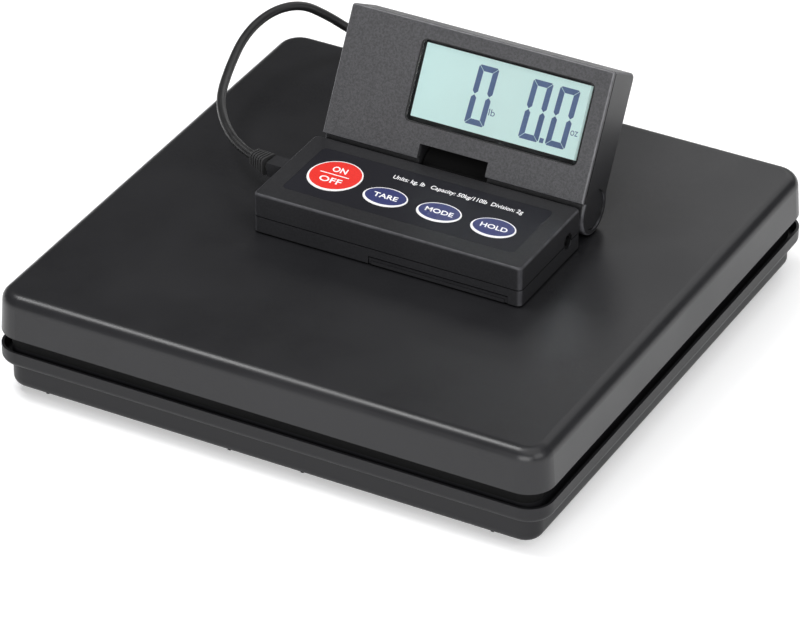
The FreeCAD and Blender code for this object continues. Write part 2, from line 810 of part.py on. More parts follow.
# ---------------------------------------------------------------------------------------------
# Platform: cover, upper frame, buffers and screws
# ---------------------------------------------------------------------------------------------
def make_platform():
    """The cover is a shell with a rounded top edge; four bosses take screws from the frame."""
    body = new_body("cover_body")
    lid = rounded_pad(
        body, "lid",
        ("-platform_width / 2", "-platform_depth / 2", "skirt_bottom"),
        ("platform_width", "platform_depth", "platform_top - skirt_bottom"),
        "cover_corner", "cover_draft",
    )
    body_fillet(body, "lid_round", lid, "cover_edge", at_level("platform_top"))
    hollow = rounded_pocket(
        body, "lid_hollow",
        ("-platform_width / 2 + cover_wall", "-platform_depth / 2 + cover_wall", "skirt_bottom"),
        ("platform_width - 2 * cover_wall", "platform_depth - 2 * cover_wall",
         "platform_top - skirt_bottom - cover_wall"),
        "cover_corner - cover_wall",
    )
    body_fillet(body, "lid_inner_round", hollow, "cover_edge - cover_wall", at_level("platform_top - cover_wall"))
    frame_top = "upper_web + sheet"
    bosses = four(
        "cover_boss", "stop_across", "cover_screw_along",
        lambda name, x, y: rod(name, (x, y, frame_top), "boss_radius", f"platform_top - 1 - ({frame_top})"),
    )
    ribs = []
    for number, across in enumerate((-60, 0, 60)):
        ribs.append(box(
            f"cover_rib_{number}",
            (across - 0.75, "-platform_depth / 2 + cover_edge + 1", "platform_top - 3.6"),
            (1.5, "platform_depth - 2 * cover_edge - 2", 2),
        ))
    solid = fuse("cover_with_bosses", [body] + bosses + ribs)
    pilots = four(
        "cover_pilot", "stop_across", "cover_screw_along",
        lambda name, x, y: rod(name, (x, y, frame_top), "screw_radius", 8),
    )
    keep("platform_cover", cut("cover_cut", solid, pilots))

    blank = pressed_frame("upper", "upper_web", "upper_length", "upper_depth", "upper_flange")
    holes = bolt_pair("upper_hole", 1, "upper_web - 1", "sheet + 2")
    holes += four(
        "upper_fixing", "stop_across", "cover_screw_along",
        lambda name, x, y: rod(name, (x, y, "upper_web - 1"), "screw_radius", "sheet + 2"),
    )
    keep("upper_frame", cut("upper_frame_cut", blank, holes))

    buffers = four(
        "buffer", "stop_across + 4", "buffer_along",
        lambda name, x, y: rod(name, (x, y, frame_top), "buffer_radius",
                               f"platform_top - cover_wall - ({frame_top})"),
    )
    keep("platform_buffers", group("buffer_set", buffers))

    screws = []
    for number, (side, end) in enumerate(CORNERS):
        at = (f"{side} * stop_across", f"{end} * cover_screw_along")
        screws.append(screw(f"cover_screw_{number}", at, "upper_web", 9, "up"))
    keep("cover_screws", group("cover_screw_set", screws))
    keep("cell_bolts_lower", socket_bolts("lower_bolts", -1, "lower_web", "up"))
    keep("cell_bolts_upper", socket_bolts("upper_bolts", 1, "upper_web + sheet", "down"))


# ---------------------------------------------------------------------------------------------
# Keypad housing
# ---------------------------------------------------------------------------------------------
KEYS = {"tare_key": "tare_across", "mode_key": "mode_across", "hold_key": "hold_across"}
JACK = ("unit_length - 10", "jack_back", "jack_height")
BAY_LEFT = "battery_left - bay_wall"
BAY_WIDTH = "6 * cell_pitch + 2 * bay_wall"
BAY_FRONT = "battery_front - 3 * bay_wall"
BAY_DEPTH = "battery_length + 8 * bay_wall"
UNIT_SCREWS = [(9, 8), (56, 8), (56, 55), (9, 55)]
LUG_LEFT = "notch_left + lug_gap"
LUG_WIDTH = "notch_width - 2 * lug_gap"


def jack_hole(name):
    return rod(name, JACK, "jack_opening", 20, "x")


def make_bottom_shell():
    """The lower half of the keypad housing, with the battery bay and the hinge lug."""
    body = new_body("bottom_body")
    rounded_pad(body, "bottom_block", (0, 0, "unit_foot"),
                ("unit_length", "unit_depth", "unit_split - unit_foot - parting_gap"), "unit_corner")
    rounded_pad(body, "parting_step", ("parting_depth", "parting_depth", "unit_foot"),
                ("unit_length - 2 * parting_depth", "unit_depth - 2 * parting_depth", "unit_split - unit_foot"),
                "unit_corner - parting_depth")
    rounded_pocket(
        body, "bottom_hollow", ("unit_wall", "unit_wall", "unit_foot + unit_wall"),
        ("unit_length - 2 * unit_wall", "unit_depth - 2 * unit_wall", "unit_split"), "unit_corner / 2",
    )
    floor = "unit_foot + unit_wall"
    wall_rise = f"unit_split - ({floor}) + 1"
    bay_outside = box("bay_outside", (BAY_LEFT, BAY_FRONT, f"{floor} - 1"), (BAY_WIDTH, BAY_DEPTH, wall_rise))
    bay_inside = box(
        "bay_inside", (f"{BAY_LEFT} + bay_wall", f"{BAY_FRONT} + bay_wall", 0),
        (f"{BAY_WIDTH} - 2 * bay_wall", f"{BAY_DEPTH} - 2 * bay_wall", "unit_split + 1"),
    )
    bosses = []
    screw_holes = []
    for number, (u, v) in enumerate(UNIT_SCREWS):
        bosses.append(rod(f"bottom_boss_{number}", (u, v, f"{floor} - 1"), 4, wall_rise))
        screw_holes.append(rod(f"bottom_hole_{number}", (u, v, 0), "screw_radius", 12))
        screw_holes.append(rod(f"bottom_counterbore_{number}", (u, v, 0), "screw_head_radius + 0.3", 4))
    web_top = "hinge_up + 5"
    web_bottom = "hinge_up - lug_radius + 1.5"
    lug = fuse("lug_blank", [
        rod("lug_barrel", (LUG_LEFT, "hinge_back", "hinge_up"), "lug_radius", LUG_WIDTH, "x"),
        box("lug_web", (LUG_LEFT, "unit_depth + 0.2", web_bottom),
            (LUG_WIDTH, "hinge_back - unit_depth - 0.2", f"{web_top} - ({web_bottom})")),
        box("lug_root", (LUG_LEFT, "unit_depth - 1", web_bottom),
            (LUG_WIDTH, 2, f"unit_split - ({web_bottom})")),
    ])
    solid = fuse("bottom_with_lug", [body, bay_outside, lug] + bosses)
    open_left = "door_left + tongue - door_gap"
    open_width = "door_width - 2 * (tongue - door_gap)"
    full_left = "door_left - door_gap"
    full_width = "door_width + 2 * door_gap"
    tools = [
        bay_inside,
        box("door_opening", (open_left, -1, 0), (open_width, "door_depth + door_gap + 1", floor)),
        box("door_lip_opening", (full_left, -1, 0), (full_width, "unit_wall + 1.2", "door_lip + door_line")),
        box("tongue_groove", (full_left, 0, "unit_foot + 0.5"), (full_width, "door_depth + door_gap", 1)),
        rod("lug_bore", ("notch_left", "hinge_back", "hinge_up"), "pin_radius", "notch_width", "x"),
        jack_hole("bottom_jack_hole"),
    ]
    keep_on_unit("keypad_bottom_shell", cut("bottom_cut", solid, tools + screw_holes))


def key_plan(name, clearance, bottom, height):
    """Discs of the four keys' plan, grown by a clearance: one round key and three oval ones."""
    discs = [rod(f"{name}_power", ("power_across", "power_back", bottom),
                 f"power_radius + {clearance}", height)]
    for key, across in KEYS.items():
        discs.append(oval(f"{name}_{key}", (across, "key_back", bottom),
                          f"key_long + {clearance}", f"key_short + {clearance}", height))
    return discs


def key_centres():
    return [("power_across", "power_back")] + [(across, "key_back") for across in KEYS.values()]


ROOF = "unit_height - unit_roof"
OVERLAY_FLOOR = "unit_height - overlay_depth"
KEY_TOP = "unit_height + key_rise"
KEY_FLOOR = "unit_height + key_rise - key_cap - key_travel - 0.1"


def make_top_shell():
    """The upper half: a recess for the overlay, four wells for the keys, and the boss of the lead."""
    body = new_body("top_body")
    block = rounded_pad(body, "top_block", (0, 0, "unit_split"),
                        ("unit_length", "unit_depth", "unit_height - unit_split"), "unit_corner")
    body_fillet(body, "top_round", block, "unit_edge", at_level("unit_height"))
    rounded_pocket(
        body, "top_hollow", ("unit_wall", "unit_wall", "unit_split"),
        ("unit_length - 2 * unit_wall", "unit_depth - 2 * unit_wall", "unit_height - unit_split - unit_roof"),
        "unit_corner / 2",
    )
    rounded_pocket(
        body, "overlay_recess", ("overlay_left", "overlay_front", OVERLAY_FLOOR),
        ("overlay_width", "overlay_back - overlay_front", 2), "unit_corner",
    )
    low = "relief_height - relief_width / 2 + 0.6"
    boss = box("relief_boss_block", ("-relief_boss", "relief_back - relief_width / 2", low),
               ("relief_boss + 1", "relief_width", f"unit_height - 0.3 - ({low})"))
    posts = []
    pilots = []
    for number, (u, v) in enumerate(UNIT_SCREWS):
        posts.append(rod(f"top_post_{number}", (u, v, "unit_split"), 3.5, f"{ROOF} - unit_split + 1"))
        pilots.append(rod(f"top_pilot_{number}", (u, v, "unit_split - 1"), "screw_radius", 8))
    solid = fuse("top_with_boss", [body, boss] + posts)
    stems = []
    for number, (u, v) in enumerate(key_centres()):
        stems.append(rod(f"stem_hole_{number}", (u, v, ROOF + " - 1"), "stem_radius + 0.4", 6))
    tools = key_plan("key_well", "key_gap", KEY_FLOOR, 4)
    tools += stems + pilots
    tools += [
        rod("relief_hole", ("-relief_boss - 1", "relief_back", "relief_height"), 2.9, "relief_boss + 4", "x"),
        jack_hole("top_jack_hole"),
    ]
    keep_on_unit("keypad_top_shell", cut("top_cut", solid, tools))


def make_keypad():
    """The printed overlay, the four keys that show through it, and their switches."""
    body = new_body("overlay_body")
    rounded_pad(body, "overlay_plate", ("overlay_left + 0.1", "overlay_front + 0.1", OVERLAY_FLOOR),
                ("overlay_width - 0.2", "overlay_back - overlay_front - 0.2", "overlay_depth"),
                "unit_corner - 0.1")
    keep_on_unit("keypad_overlay", cut("overlay_cut", body, key_plan("overlay_hole", "key_gap", ROOF, 4)))

    caps = key_plan("key_cap_disc", "0", f"{KEY_TOP} - key_cap", "key_cap")
    names = ["power_key"] + list(KEYS)
    for cap, name, (u, v) in zip(caps, names, key_centres()):
        stem = rod(name + "_stem", (u, v, "stem_bottom"), "stem_radius",
                   f"{KEY_TOP} - key_cap - stem_bottom + 0.2")
        keep_on_unit(name, fuse(name + "_solid", [cap, stem]))

    board_top = "main_board_bottom + board"
    switches = []
    for number, (u, v) in enumerate(key_centres()):
        base = box(f"switch_base_{number}", (f"{u} - 3", f"{v} - 3", board_top), (6, 6, 2.2))
        button = rod(f"switch_button_{number}", (u, v, f"{board_top} + 2"), 1.7,
                     f"stem_bottom - key_travel - 0.05 - ({board_top}) - 2")
        switches.append(fuse(f"switch_{number}", [base, button]))
    keep_on_unit("key_switches", group("switch_set", switches))


def make_main_board():
    """The circuit board under the roof, with a hole for one housing post, and its chips."""
    board_top = "main_board_bottom + board"
    plate = box("main_plate", (14, 5, "main_board_bottom"), (120, 46, "board"))
    chips = [
        box("main_controller", (42, 38, board_top), (12, 12, 1.6)),
        box("main_memory", (72, 40, board_top), (6, 5, 1.5)),
        box("main_plug", (100, 44, board_top), (14, 5, 3.2)),
        rod("main_buzzer", (20, 12, board_top), 4.5, 3.2),
    ]
    post_hole = rod("main_post_hole", (*UNIT_SCREWS[1], "main_board_bottom - 1"), 4.2, "board + 2")
    keep_on_unit("main_board", cut("main_board_cut", fuse("main_board_solid", [plate] + chips), [post_hole]))


def make_power_inlet():
    """The barrel jack behind the right wall: a bore with a centre pin."""
    left, back, height = "unit_length - 13", "jack_back", "jack_height"
    block = box("jack_block", (left, f"{back} - 4.4", f"{height} - 4.4"), (10.9, 8.8, 8.8))
    collar = rod("jack_collar", ("unit_length - 3", back, height), 4.1, 2.4, "x")
    bore = rod("jack_bore_hole", ("unit_length - 11", back, height), "jack_bore", 12, "x")
    barrel = cut("jack_barrel", fuse("jack_blank", [block, collar]), [bore])
    pin = rod("jack_pin_rod", ("unit_length - 11.5", back, height), "jack_pin", 10, "x")
    keep_on_unit("power_inlet", fuse("jack_solid", [barrel, pin]))


def make_batteries():
    """Six cells side by side, with their springs, contact plates and the sliding door."""
    cells = []
    springs = []
    plates = []
    middle = "unit_foot + unit_wall + cell_radius + 0.3"
    for number in range(6):
        across = f"battery_left + cell_pitch * {number + 0.5}"
        can = rod(f"battery_{number}", (across, "battery_front", middle),
                  "cell_radius", "battery_length - 1", "y")
        cap = rod(f"battery_cap_{number}", (across, "battery_front + battery_length - 1", middle),
                  1.9, 1, "y")
        cells.append(fuse(f"battery_cell_{number}", [can, cap]))
        springs.append(cone(f"battery_spring_{number}", (across, "battery_front - 1.9", middle),
                            3.6, 2.2, 1.9, "y"))
        rear = "battery_front + battery_length"
        for side, at in (("front", "battery_front - 2.3"), ("rear", rear)):
            plates.append(box(f"contact_{side}_{number}", (f"{across} - 4", at, f"{middle} - 4"),
                              (8, 0.4, 7.5)))
    keep_on_unit("battery_cells", group("battery_set", cells))
    keep_on_unit("battery_springs", group("spring_set", springs))
    keep_on_unit("battery_contacts", group("contact_set", plates))

    plate = box("door_plate", ("door_left + tongue", 0, "unit_foot"),
                ("door_width - 2 * tongue", "door_depth", "door_sheet"))
    lip = box("door_lip_block", ("door_left", "door_back", "unit_foot"),
              ("door_width", "unit_wall - door_back", "door_lip - unit_foot"))
    tongues = box("door_tongues", ("door_left + 0.1", 10, "unit_foot + 0.6"),
                  ("door_width - 0.2", "door_depth - 14", 0.8))
    grips = []
    for number in range(5):
        grips.append(box(f"door_grip_{number}", ("door_left + 26", 6 + 2 * number, 0),
                         (24, 1, "unit_foot + 0.5")))
    keep_on_unit("battery_door", cut("door_cut", fuse("door_blank", [plate, lip, tongues]), grips))


def make_unit_fittings():
    """Feet, screws and the strain relief of the keypad housing."""
    pads = []
    for number, (u, v) in enumerate(((22, 6), (22, 57), (145, 12), (145, 52))):
        pads.append(rod(f"unit_pad_{number}", (u, v, 0), 2.3, "unit_foot"))
    keep_on_unit("display_feet", group("unit_pads", pads))

    screws = []
    for number, at in enumerate(UNIT_SCREWS):
        screws.append(screw(f"unit_screw_{number}", at, 4, 12, "up"))
    keep_on_unit("housing_screws", group("unit_screw_set", screws))

    centre = ("relief_back", "relief_height")
    sleeve = [rod("relief_core", ("-relief_reach", 0, 0), "relief_core", "relief_reach - 1", "x")]
    for number in range(6):
        thick = f"(relief_start - {number} * relief_taper)"
        rib = box(f"relief_rib_{number}",
                  (f"-relief_first - relief_rib - {number} * relief_pitch", f"-{thick} / 2", f"-{thick} / 2"),
                  ("relief_rib", thick, thick))
        sleeve.append(round_edges(f"relief_rib_round_{number}", rib, "relief_round",
                                  lambda edge: edge.BoundBox.XLength > 1))
    sleeve = fuse("relief_sleeve", sleeve)
    sleeve.Placement = FreeCAD.Placement(Vector(), FreeCAD.Rotation(Z_AXIS, -size("relief_lean")))
    bind(sleeve, "Placement.Rotation.Angle", "-relief_lean")
    move(sleeve, ("-relief_boss", *centre))
    neck = rod("relief_neck", ("-relief_boss - 1.6", *centre), 2.9, "relief_boss + 3.6", "x")
    keep_on_unit("display_relief", fuse("relief_solid", [neck, sleeve]))

    pin = rod("pin_rod", ("panel_left + cap_recess + 0.5", "hinge_back", "hinge_up"), "pin_radius",
              "panel_width - 2 * cap_recess - 1", "x")
    keep_on_unit("hinge_pin", pin)


# ---------------------------------------------------------------------------------------------
# Display panel, built upright about its hinge axis
# ---------------------------------------------------------------------------------------------
PANEL_SCREWS = [("panel_left + 8", 20), ("panel_left + 8", 62), ("panel_left + panel_width - 4.8", 20),
                ("panel_left + panel_width - 4.8", 62)]
SPLIT = "panel_front - face_sheet - groove"


def make_panel_back():
    """The back shell: a hollow slab whose lower end is a round knuckle.

    The knuckle is open at the front and below for the lug, and wraps round the lug's back.
    """
    slab = box("slab", ("panel_left", f"-({SPLIT})", "panel_foot"),
               ("panel_width", f"{SPLIT} + panel_back", "panel_top - panel_foot"))
    knuckle = rod("knuckle_rod", ("panel_left", 0, 0), "knuckle", "panel_width", "x")
    blank = fuse("back_blank", [slab, knuckle])
    doc.recompute()
    top, back, fold = size("panel_top"), size("panel_back"), size("knuckle ^ 2 - panel_back ^ 2") ** 0.5

    def long_edge(edge, y, z):
        centre = edge.BoundBox.Center
        return edge.BoundBox.XLength > 100 and abs(centre.y - y) < 0.01 and abs(centre.z - z) < 0.01

    blank = round_edges("back_round", blank, "panel_round",
                        lambda edge: long_edge(edge, back, top) or long_edge(edge, back, fold))

    def side_edge(edge):
        bounds = edge.BoundBox
        return bounds.XLength < 0.01 and bounds.YMax > 0 and bounds.ZLength + bounds.YLength > 2

    blank = round_edges("side_round", blank, "panel_edge", side_edge)
    cavity = box("back_cavity", ("panel_left + panel_wall", f"-({SPLIT}) - 1", "notch_top + panel_wall"),
                 ("panel_width - 2 * panel_wall", f"{SPLIT} + 1 + panel_back - panel_wall",
                  "panel_top - notch_top - 2 * panel_wall"))
    hollow = cut("back_hollow", blank, [cavity])
    bosses = []
    tools = [
        box("notch", ("notch_left", "-30", "-30"), ("notch_width", 30, "notch_top + 30")),
        box("notch_below", ("notch_left", "-30", "-30"), ("notch_width", 60, 26)),
        rod("notch_well", ("notch_left", 0, 0), "lug_well", "notch_width", "x"),
        rod("pin_clearance", ("panel_left", 0, 0), "pin_radius + pin_gap", "panel_width", "x"),
    ]
    for side, at in (("left", "panel_left - 1"), ("right", "panel_left + panel_width - cap_recess")):
        tools.append(rod(f"cap_recess_{side}", (at, 0, 0), "cap_radius + 0.3", "cap_recess + 1", "x"))
    for side, at in (("left", "notch_left - 8"), ("right", "notch_left + notch_width")):
        tools.append(rod(f"bush_seat_{side}", (at, 0, 0), "bush_radius", 8, "x"))
    for number, (x, z) in enumerate(PANEL_SCREWS):
        bosses.append(rod(f"back_boss_{number}", (x, "-6", z), 2.6, "6 + panel_back - 1", "y"))
        tools.append(rod(f"back_hole_{number}", (x, "-7", z), 1.25, 20, "y"))
        tools.append(rod(f"back_counterbore_{number}", (x, "panel_back - 3", z), 2.3, 4, "y"))
    solid = fuse("back_with_bosses", [hollow] + bosses)
    keep_on_panel("panel_back_shell", cut("back_cut", solid, tools))


def make_panel_front():
    """The front shell: the face with its window, a groove all round and posts for the screws."""
    face = box("face_plate", ("panel_left", "-panel_front", "panel_foot"),
               ("panel_width", "face_sheet", "panel_top - panel_foot"))
    front, top = -size("panel_front"), size("panel_top")
    face = round_edges("face_corner_round", face, "panel_edge",
                       lambda edge: edge.BoundBox.YLength > 1 and edge.BoundBox.ZMin > top - 0.01)
    face = round_edges("face_round", face, "face_round", lambda edge: edge.BoundBox.YMax < front + 0.01)
    step = box(
        "face_step", ("panel_left + groove_depth", "-panel_front + face_sheet", "panel_foot + groove_depth"),
        ("panel_width - 2 * groove_depth", "groove", "panel_top - panel_foot - 2 * groove_depth"),
    )
    lip_at = "panel_wall + 0.2"
    lip_outside = box(
        "lip_outside", (f"panel_left + {lip_at}", f"-({SPLIT})", f"notch_top + {lip_at}"),
        (f"panel_width - 2 * ({lip_at})", 2.2, f"panel_top - notch_top - 2 * ({lip_at})"),
    )
    lip_inside = box(
        "lip_inside", (f"panel_left + {lip_at} + 1.2", f"-({SPLIT})", f"notch_top + {lip_at} + 1.2"),
        (f"panel_width - 2 * ({lip_at} + 1.2)", 4, f"panel_top - notch_top - 2 * ({lip_at} + 1.2)"),
    )
    posts = []
    for number, (x, z) in enumerate(PANEL_SCREWS):
        posts.append(rod(f"face_post_{number}", (x, f"-({SPLIT})", z), 2.4, f"{SPLIT} - 6", "y"))
    opening = box("window_opening", ("window_left", "-30", "window_bottom"),
                  ("window_width", 30, "window_height"))
    opening = round_edges("window_round", opening, "window_corner", lambda edge: edge.BoundBox.YLength > 10)
    tools = [opening, box("face_notch", ("notch_left", "-30", "-30"), ("notch_width", 60, "notch_top + 30"))]
    for number, (x, z) in enumerate(PANEL_SCREWS):
        tools.append(rod(f"face_pilot_{number}", (x, f"-({SPLIT}) + 0.5", z), 1.25, 12, "y"))
    solid = fuse("face_with_lip", [face, step, cut("lip_ring", lip_outside, [lip_inside])] + posts)
    keep_on_panel("panel_front_shell", cut("face_cut", solid, tools))


def make_display():
    """The window, the liquid crystal glass, its light, its rubber strips and its board."""
    front = "panel_front - window_sunk"
    window = box(
        "window_plate", ("window_left + 0.1", f"-({front})", "window_bottom + 0.1"),
        ("window_width - 0.2", "window_sheet", "window_height - 0.2"),
    )
    window = round_edges("window_plate_round", window, "window_corner",
                         lambda edge: abs(edge.BoundBox.YLength - size("window_sheet")) < 0.01)
    keep_on_panel("lcd_window", window)

    glass_front = f"{front} - window_sheet - 0.1"
    glass = box("glass_plate", ("window_left - 1.7", f"-({glass_front})", "window_bottom - 2"),
                ("window_width - 1.5", "glass_sheet", "window_height + 4"))
    keep_on_panel("lcd_glass", glass)

    light_front = f"{glass_front} - glass_sheet - 0.1"
    light = box("light_plate", ("window_left", f"-({light_front})", "window_bottom + 2"),
                ("window_width - 4", "light_sheet", "window_height - 4"))
    keep_on_panel("backlight", light)

    strips = []
    for number, level in enumerate(("window_bottom - 1.5", "window_bottom + window_height - 0.5")):
        strips.append(box(f"strip_{number}", ("window_left + 2", f"-({light_front})", level),
                          ("window_width - 8", "light_sheet + 0.2", 2)))
    keep_on_panel("contact_strips", group("strip_set", strips))

    board_front = f"{light_front} - light_sheet - 0.2"
    board_back = f"-({board_front}) + board"
    pieces = [
        box("lcd_plate", ("window_left - 3", f"-({board_front})", "window_bottom - 4"),
            ("window_width", "board", "window_height + 8")),
        box("lcd_driver", ("window_left + 38", board_back, "window_bottom + 18"), (12, 1.6, 12)),
        box("lcd_plug", ("window_left + 22", board_back, "window_bottom - 2"), (14, 4, 5)),
    ]
    keep_on_panel("lcd_board", fuse("lcd_board_solid", pieces))


def make_panel_fittings():
    """Hinge bushes, end caps and screws."""
    bushes = []
    for side, at in (("left", "notch_left - 8"), ("right", "notch_left + notch_width")):
        outer = rod(f"bush_outer_{side}", (at, 0, 0), "bush_radius", 8, "x")
        bore = rod(f"bush_bore_{side}", (at, 0, 0), "pin_radius + pin_gap", 8, "x")
        bushes.append(cut(f"bush_{side}", outer, [bore]))
    keep_on_panel("hinge_bushes", group("bush_set", bushes))

    caps = []
    inset = "cap_recess - cap_sheet"
    for side, at in (("left", f"panel_left + {inset}"), ("right", f"panel_left + panel_width - cap_recess")):
        caps.append(rod(f"cap_{side}", (at, 0, 0), "cap_radius", "cap_sheet", "x"))
    keep_on_panel("hinge_caps", group("cap_set", caps))

    screws = []
    for number, (x, z) in enumerate(PANEL_SCREWS):
        head = rod(f"panel_screw_head_{number}", (x, "panel_back - 3", z), 2.1, 1.6, "y")
        shank = rod(f"panel_screw_shank_{number}", (x, "-10", z), 1.25, "10 + panel_back - 3", "y")
        slots = [
            box(f"panel_slot_a_{number}", (f"{x} - 1.3", "panel_back - 2.1", f"{z} - 0.3"), (2.6, 2, 0.6)),
            box(f"panel_slot_b_{number}", (f"{x} - 0.3", "panel_back - 2.1", f"{z} - 1.3"), (0.6, 2, 2.6)),
        ]
        screws.append(cut(f"panel_screw_{number}", fuse(f"panel_screw_blank_{number}", [head, shank]), slots))
    keep_on_panel("panel_screws", group("panel_screw_set", screws))


# ---------------------------------------------------------------------------------------------
# Build, check and write
# ---------------------------------------------------------------------------------------------
make_base_tray()
make_feet()
make_lower_frame()
make_load_cell()
make_converter_board()
make_platform()
make_rear_relief()
make_leads()
make_bottom_shell()
make_top_shell()
make_keypad()
make_main_board()
make_power_inlet()
make_batteries()
make_unit_fittings()
make_panel_back()
make_panel_front()
make_display()
make_panel_fittings()
doc.recompute()

for thing in doc.Objects:
    if "Invalid" in thing.State or "Error" in thing.State:
        raise RuntimeError(f"{thing.Name} failed: {thing.State}")
for name, thing in NODES.items():
    if thing.Shape.isNull() or not thing.Shape.isValid() or not thing.Shape.Solids:
        raise RuntimeError(f"{name} has no valid solid")
for name, thing in NODES.items():
    thing.Shape.exportStep(f"parts/{name}.step")
    print(name, len(thing.Shape.Solids), "solid(s)", round(thing.Shape.Volume / 1000, 2), "cm3")
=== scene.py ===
import json
import math
import bpy
import bmesh
from mathutils import Matrix, Vector


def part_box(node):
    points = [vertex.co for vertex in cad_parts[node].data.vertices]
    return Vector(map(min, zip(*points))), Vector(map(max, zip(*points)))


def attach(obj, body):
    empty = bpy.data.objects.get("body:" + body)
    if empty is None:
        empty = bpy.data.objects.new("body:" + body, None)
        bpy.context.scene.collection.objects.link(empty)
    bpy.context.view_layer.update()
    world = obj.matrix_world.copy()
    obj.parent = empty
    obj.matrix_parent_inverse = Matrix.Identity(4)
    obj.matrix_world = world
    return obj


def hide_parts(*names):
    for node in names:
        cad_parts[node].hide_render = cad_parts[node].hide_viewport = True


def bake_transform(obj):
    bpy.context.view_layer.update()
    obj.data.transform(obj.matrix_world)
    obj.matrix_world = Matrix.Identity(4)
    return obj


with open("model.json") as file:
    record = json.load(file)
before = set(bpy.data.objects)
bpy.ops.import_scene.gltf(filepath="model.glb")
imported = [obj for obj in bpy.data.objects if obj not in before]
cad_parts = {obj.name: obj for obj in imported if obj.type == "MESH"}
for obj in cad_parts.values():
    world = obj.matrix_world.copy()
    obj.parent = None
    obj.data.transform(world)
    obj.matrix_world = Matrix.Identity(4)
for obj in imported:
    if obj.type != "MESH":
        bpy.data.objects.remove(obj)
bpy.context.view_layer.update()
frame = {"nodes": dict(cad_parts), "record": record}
nodes = frame["nodes"]
scene = bpy.context.scene
MM = 0.001


# ---------------------------------------------------------------- camera

AZIMUTH = math.radians(28.655)
ELEVATION = math.radians(32.957)
ROLL = math.radians(-0.175)
DISTANCE = 2547.274 * MM
AIM = Vector((-6.252, -0.121, 4.461)) * MM
SENSOR_WIDTH = 36
LENS = 230.33
SHIFT_X = 0.0049
SHIFT_Y = -0.0031
FARTHEST_SEEN = 50

towards_camera = Vector((
    math.sin(AZIMUTH) * math.cos(ELEVATION),
    -math.cos(AZIMUTH) * math.cos(ELEVATION),
    math.sin(ELEVATION),
))
camera = bpy.data.objects.new("camera", bpy.data.cameras.new("camera"))
camera.data.sensor_fit = "HORIZONTAL"
camera.data.sensor_width = SENSOR_WIDTH
camera.data.lens = LENS
camera.data.shift_x = SHIFT_X
camera.data.shift_y = SHIFT_Y
camera.data.clip_end = FARTHEST_SEEN
turn = towards_camera.to_track_quat("Z", "Y").to_matrix().to_4x4() @ Matrix.Rotation(ROLL, 4, "Z")
camera.matrix_world = Matrix.Translation(AIM + DISTANCE * towards_camera) @ turn
scene.collection.objects.link(camera)
scene.camera = camera
scene.view_settings.view_transform = "Standard"


# ---------------------------------------------------------------- building blocks

LETTER_SMOOTHNESS = 4
SAME_POINT = 1e-6
OVAL_POINTS = 96
CORNER_STEPS = 10


def add_mesh(name, bm, material, smooth_angle=None):
    """Links a bmesh as an object with one material. Faces are smooth up to the given angle in degrees."""
    bmesh.ops.recalc_face_normals(bm, faces=bm.faces)
    mesh = bpy.data.meshes.new(name)
    bm.to_mesh(mesh)
    bm.free()
    mesh.materials.append(material)
    if smooth_angle is not None:
        mesh.shade_smooth()
        mesh.set_sharp_from_angle(angle=math.radians(smooth_angle))
    piece = bpy.data.objects.new(name, mesh)
    scene.collection.objects.link(piece)
    return piece


def settle(piece, body):
    """Gives a piece that Blender adds the body that it moves with."""
    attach(piece, body)


def add_print(name, outlines, place, thickness, material, body):
    """A layer of print: flat closed outlines in millimetres, raised by the thickness and put in place."""
    bm = bmesh.new()
    for outline in outlines:
        low = [bm.verts.new((x, y, 0)) for x, y in outline]
        high = [bm.verts.new((x, y, thickness)) for x, y in outline]
        bm.faces.new(low)
        bm.faces.new(high)
        for i in range(len(outline)):
            j = (i + 1) % len(outline)
            bm.faces.new((low[i], low[j], high[j], high[i]))
    bm.transform(place @ Matrix.Scale(MM, 4))
    settle(add_mesh(name, bm, material), body)


def add_words(name, words, width, height, place, thickness, material, body, weight=0.0, lean=0.0):
    """Printed words, centred at the place, of that width and height in millimetres."""
    text = bpy.data.curves.new(name, "FONT")
    text.body = words
    text.offset = weight
    text.shear = lean
    text.extrude = 0.5  # Any depth will do, as the mesh is scaled to the thickness.
    text.resolution_u = LETTER_SMOOTHNESS
    holder = bpy.data.objects.new(name, text)
    scene.collection.objects.link(holder)
    bpy.context.view_layer.update()
    mesh = bpy.data.meshes.new_from_object(holder.evaluated_get(bpy.context.evaluated_depsgraph_get()))
    bpy.data.objects.remove(holder)
    bpy.data.curves.remove(text)
    bm = bmesh.new()
    bm.from_mesh(mesh)
    bpy.data.meshes.remove(mesh)
    bmesh.ops.remove_doubles(bm, verts=bm.verts, dist=SAME_POINT)
    low = [min(v.co[axis] for v in bm.verts) for axis in range(3)]
    high = [max(v.co[axis] for v in bm.verts) for axis in range(3)]
    middle = Vector(((low[0] + high[0]) / 2, (low[1] + high[1]) / 2, low[2]))
    wanted = (width, height, thickness)
    scale = Vector((w / (h - l) for w, h, l in zip(wanted, high, low))) * MM
    for v in bm.verts:
        v.co = Vector((c * s for c, s in zip(v.co - middle, scale)))
    bm.transform(place)
    settle(add_mesh(name, bm, material), body)


def ellipse(radius_x, radius_y):
    """The outline of an ellipse about the origin."""
    steps = (2 * math.pi * i / OVAL_POINTS for i in range(OVAL_POINTS))
    return [(radius_x * math.cos(a), radius_y * math.sin(a)) for a in steps]


def round_corners(box, radius):
    """A rectangle with round corners, as points anticlockwise from the lower right."""
    left, low, right, high = box
    points = []
    corners = ((right - radius, low + radius, -90), (right - radius, high - radius, 0),
               (left + radius, high - radius, 90), (left + radius, low + radius, 180))
    for x, y, start in corners:
        for i in range(CORNER_STEPS + 1):
            a = math.radians(start + 90 * i / CORNER_STEPS)
            points.append((x + radius * math.cos(a), y + radius * math.sin(a)))
    return points


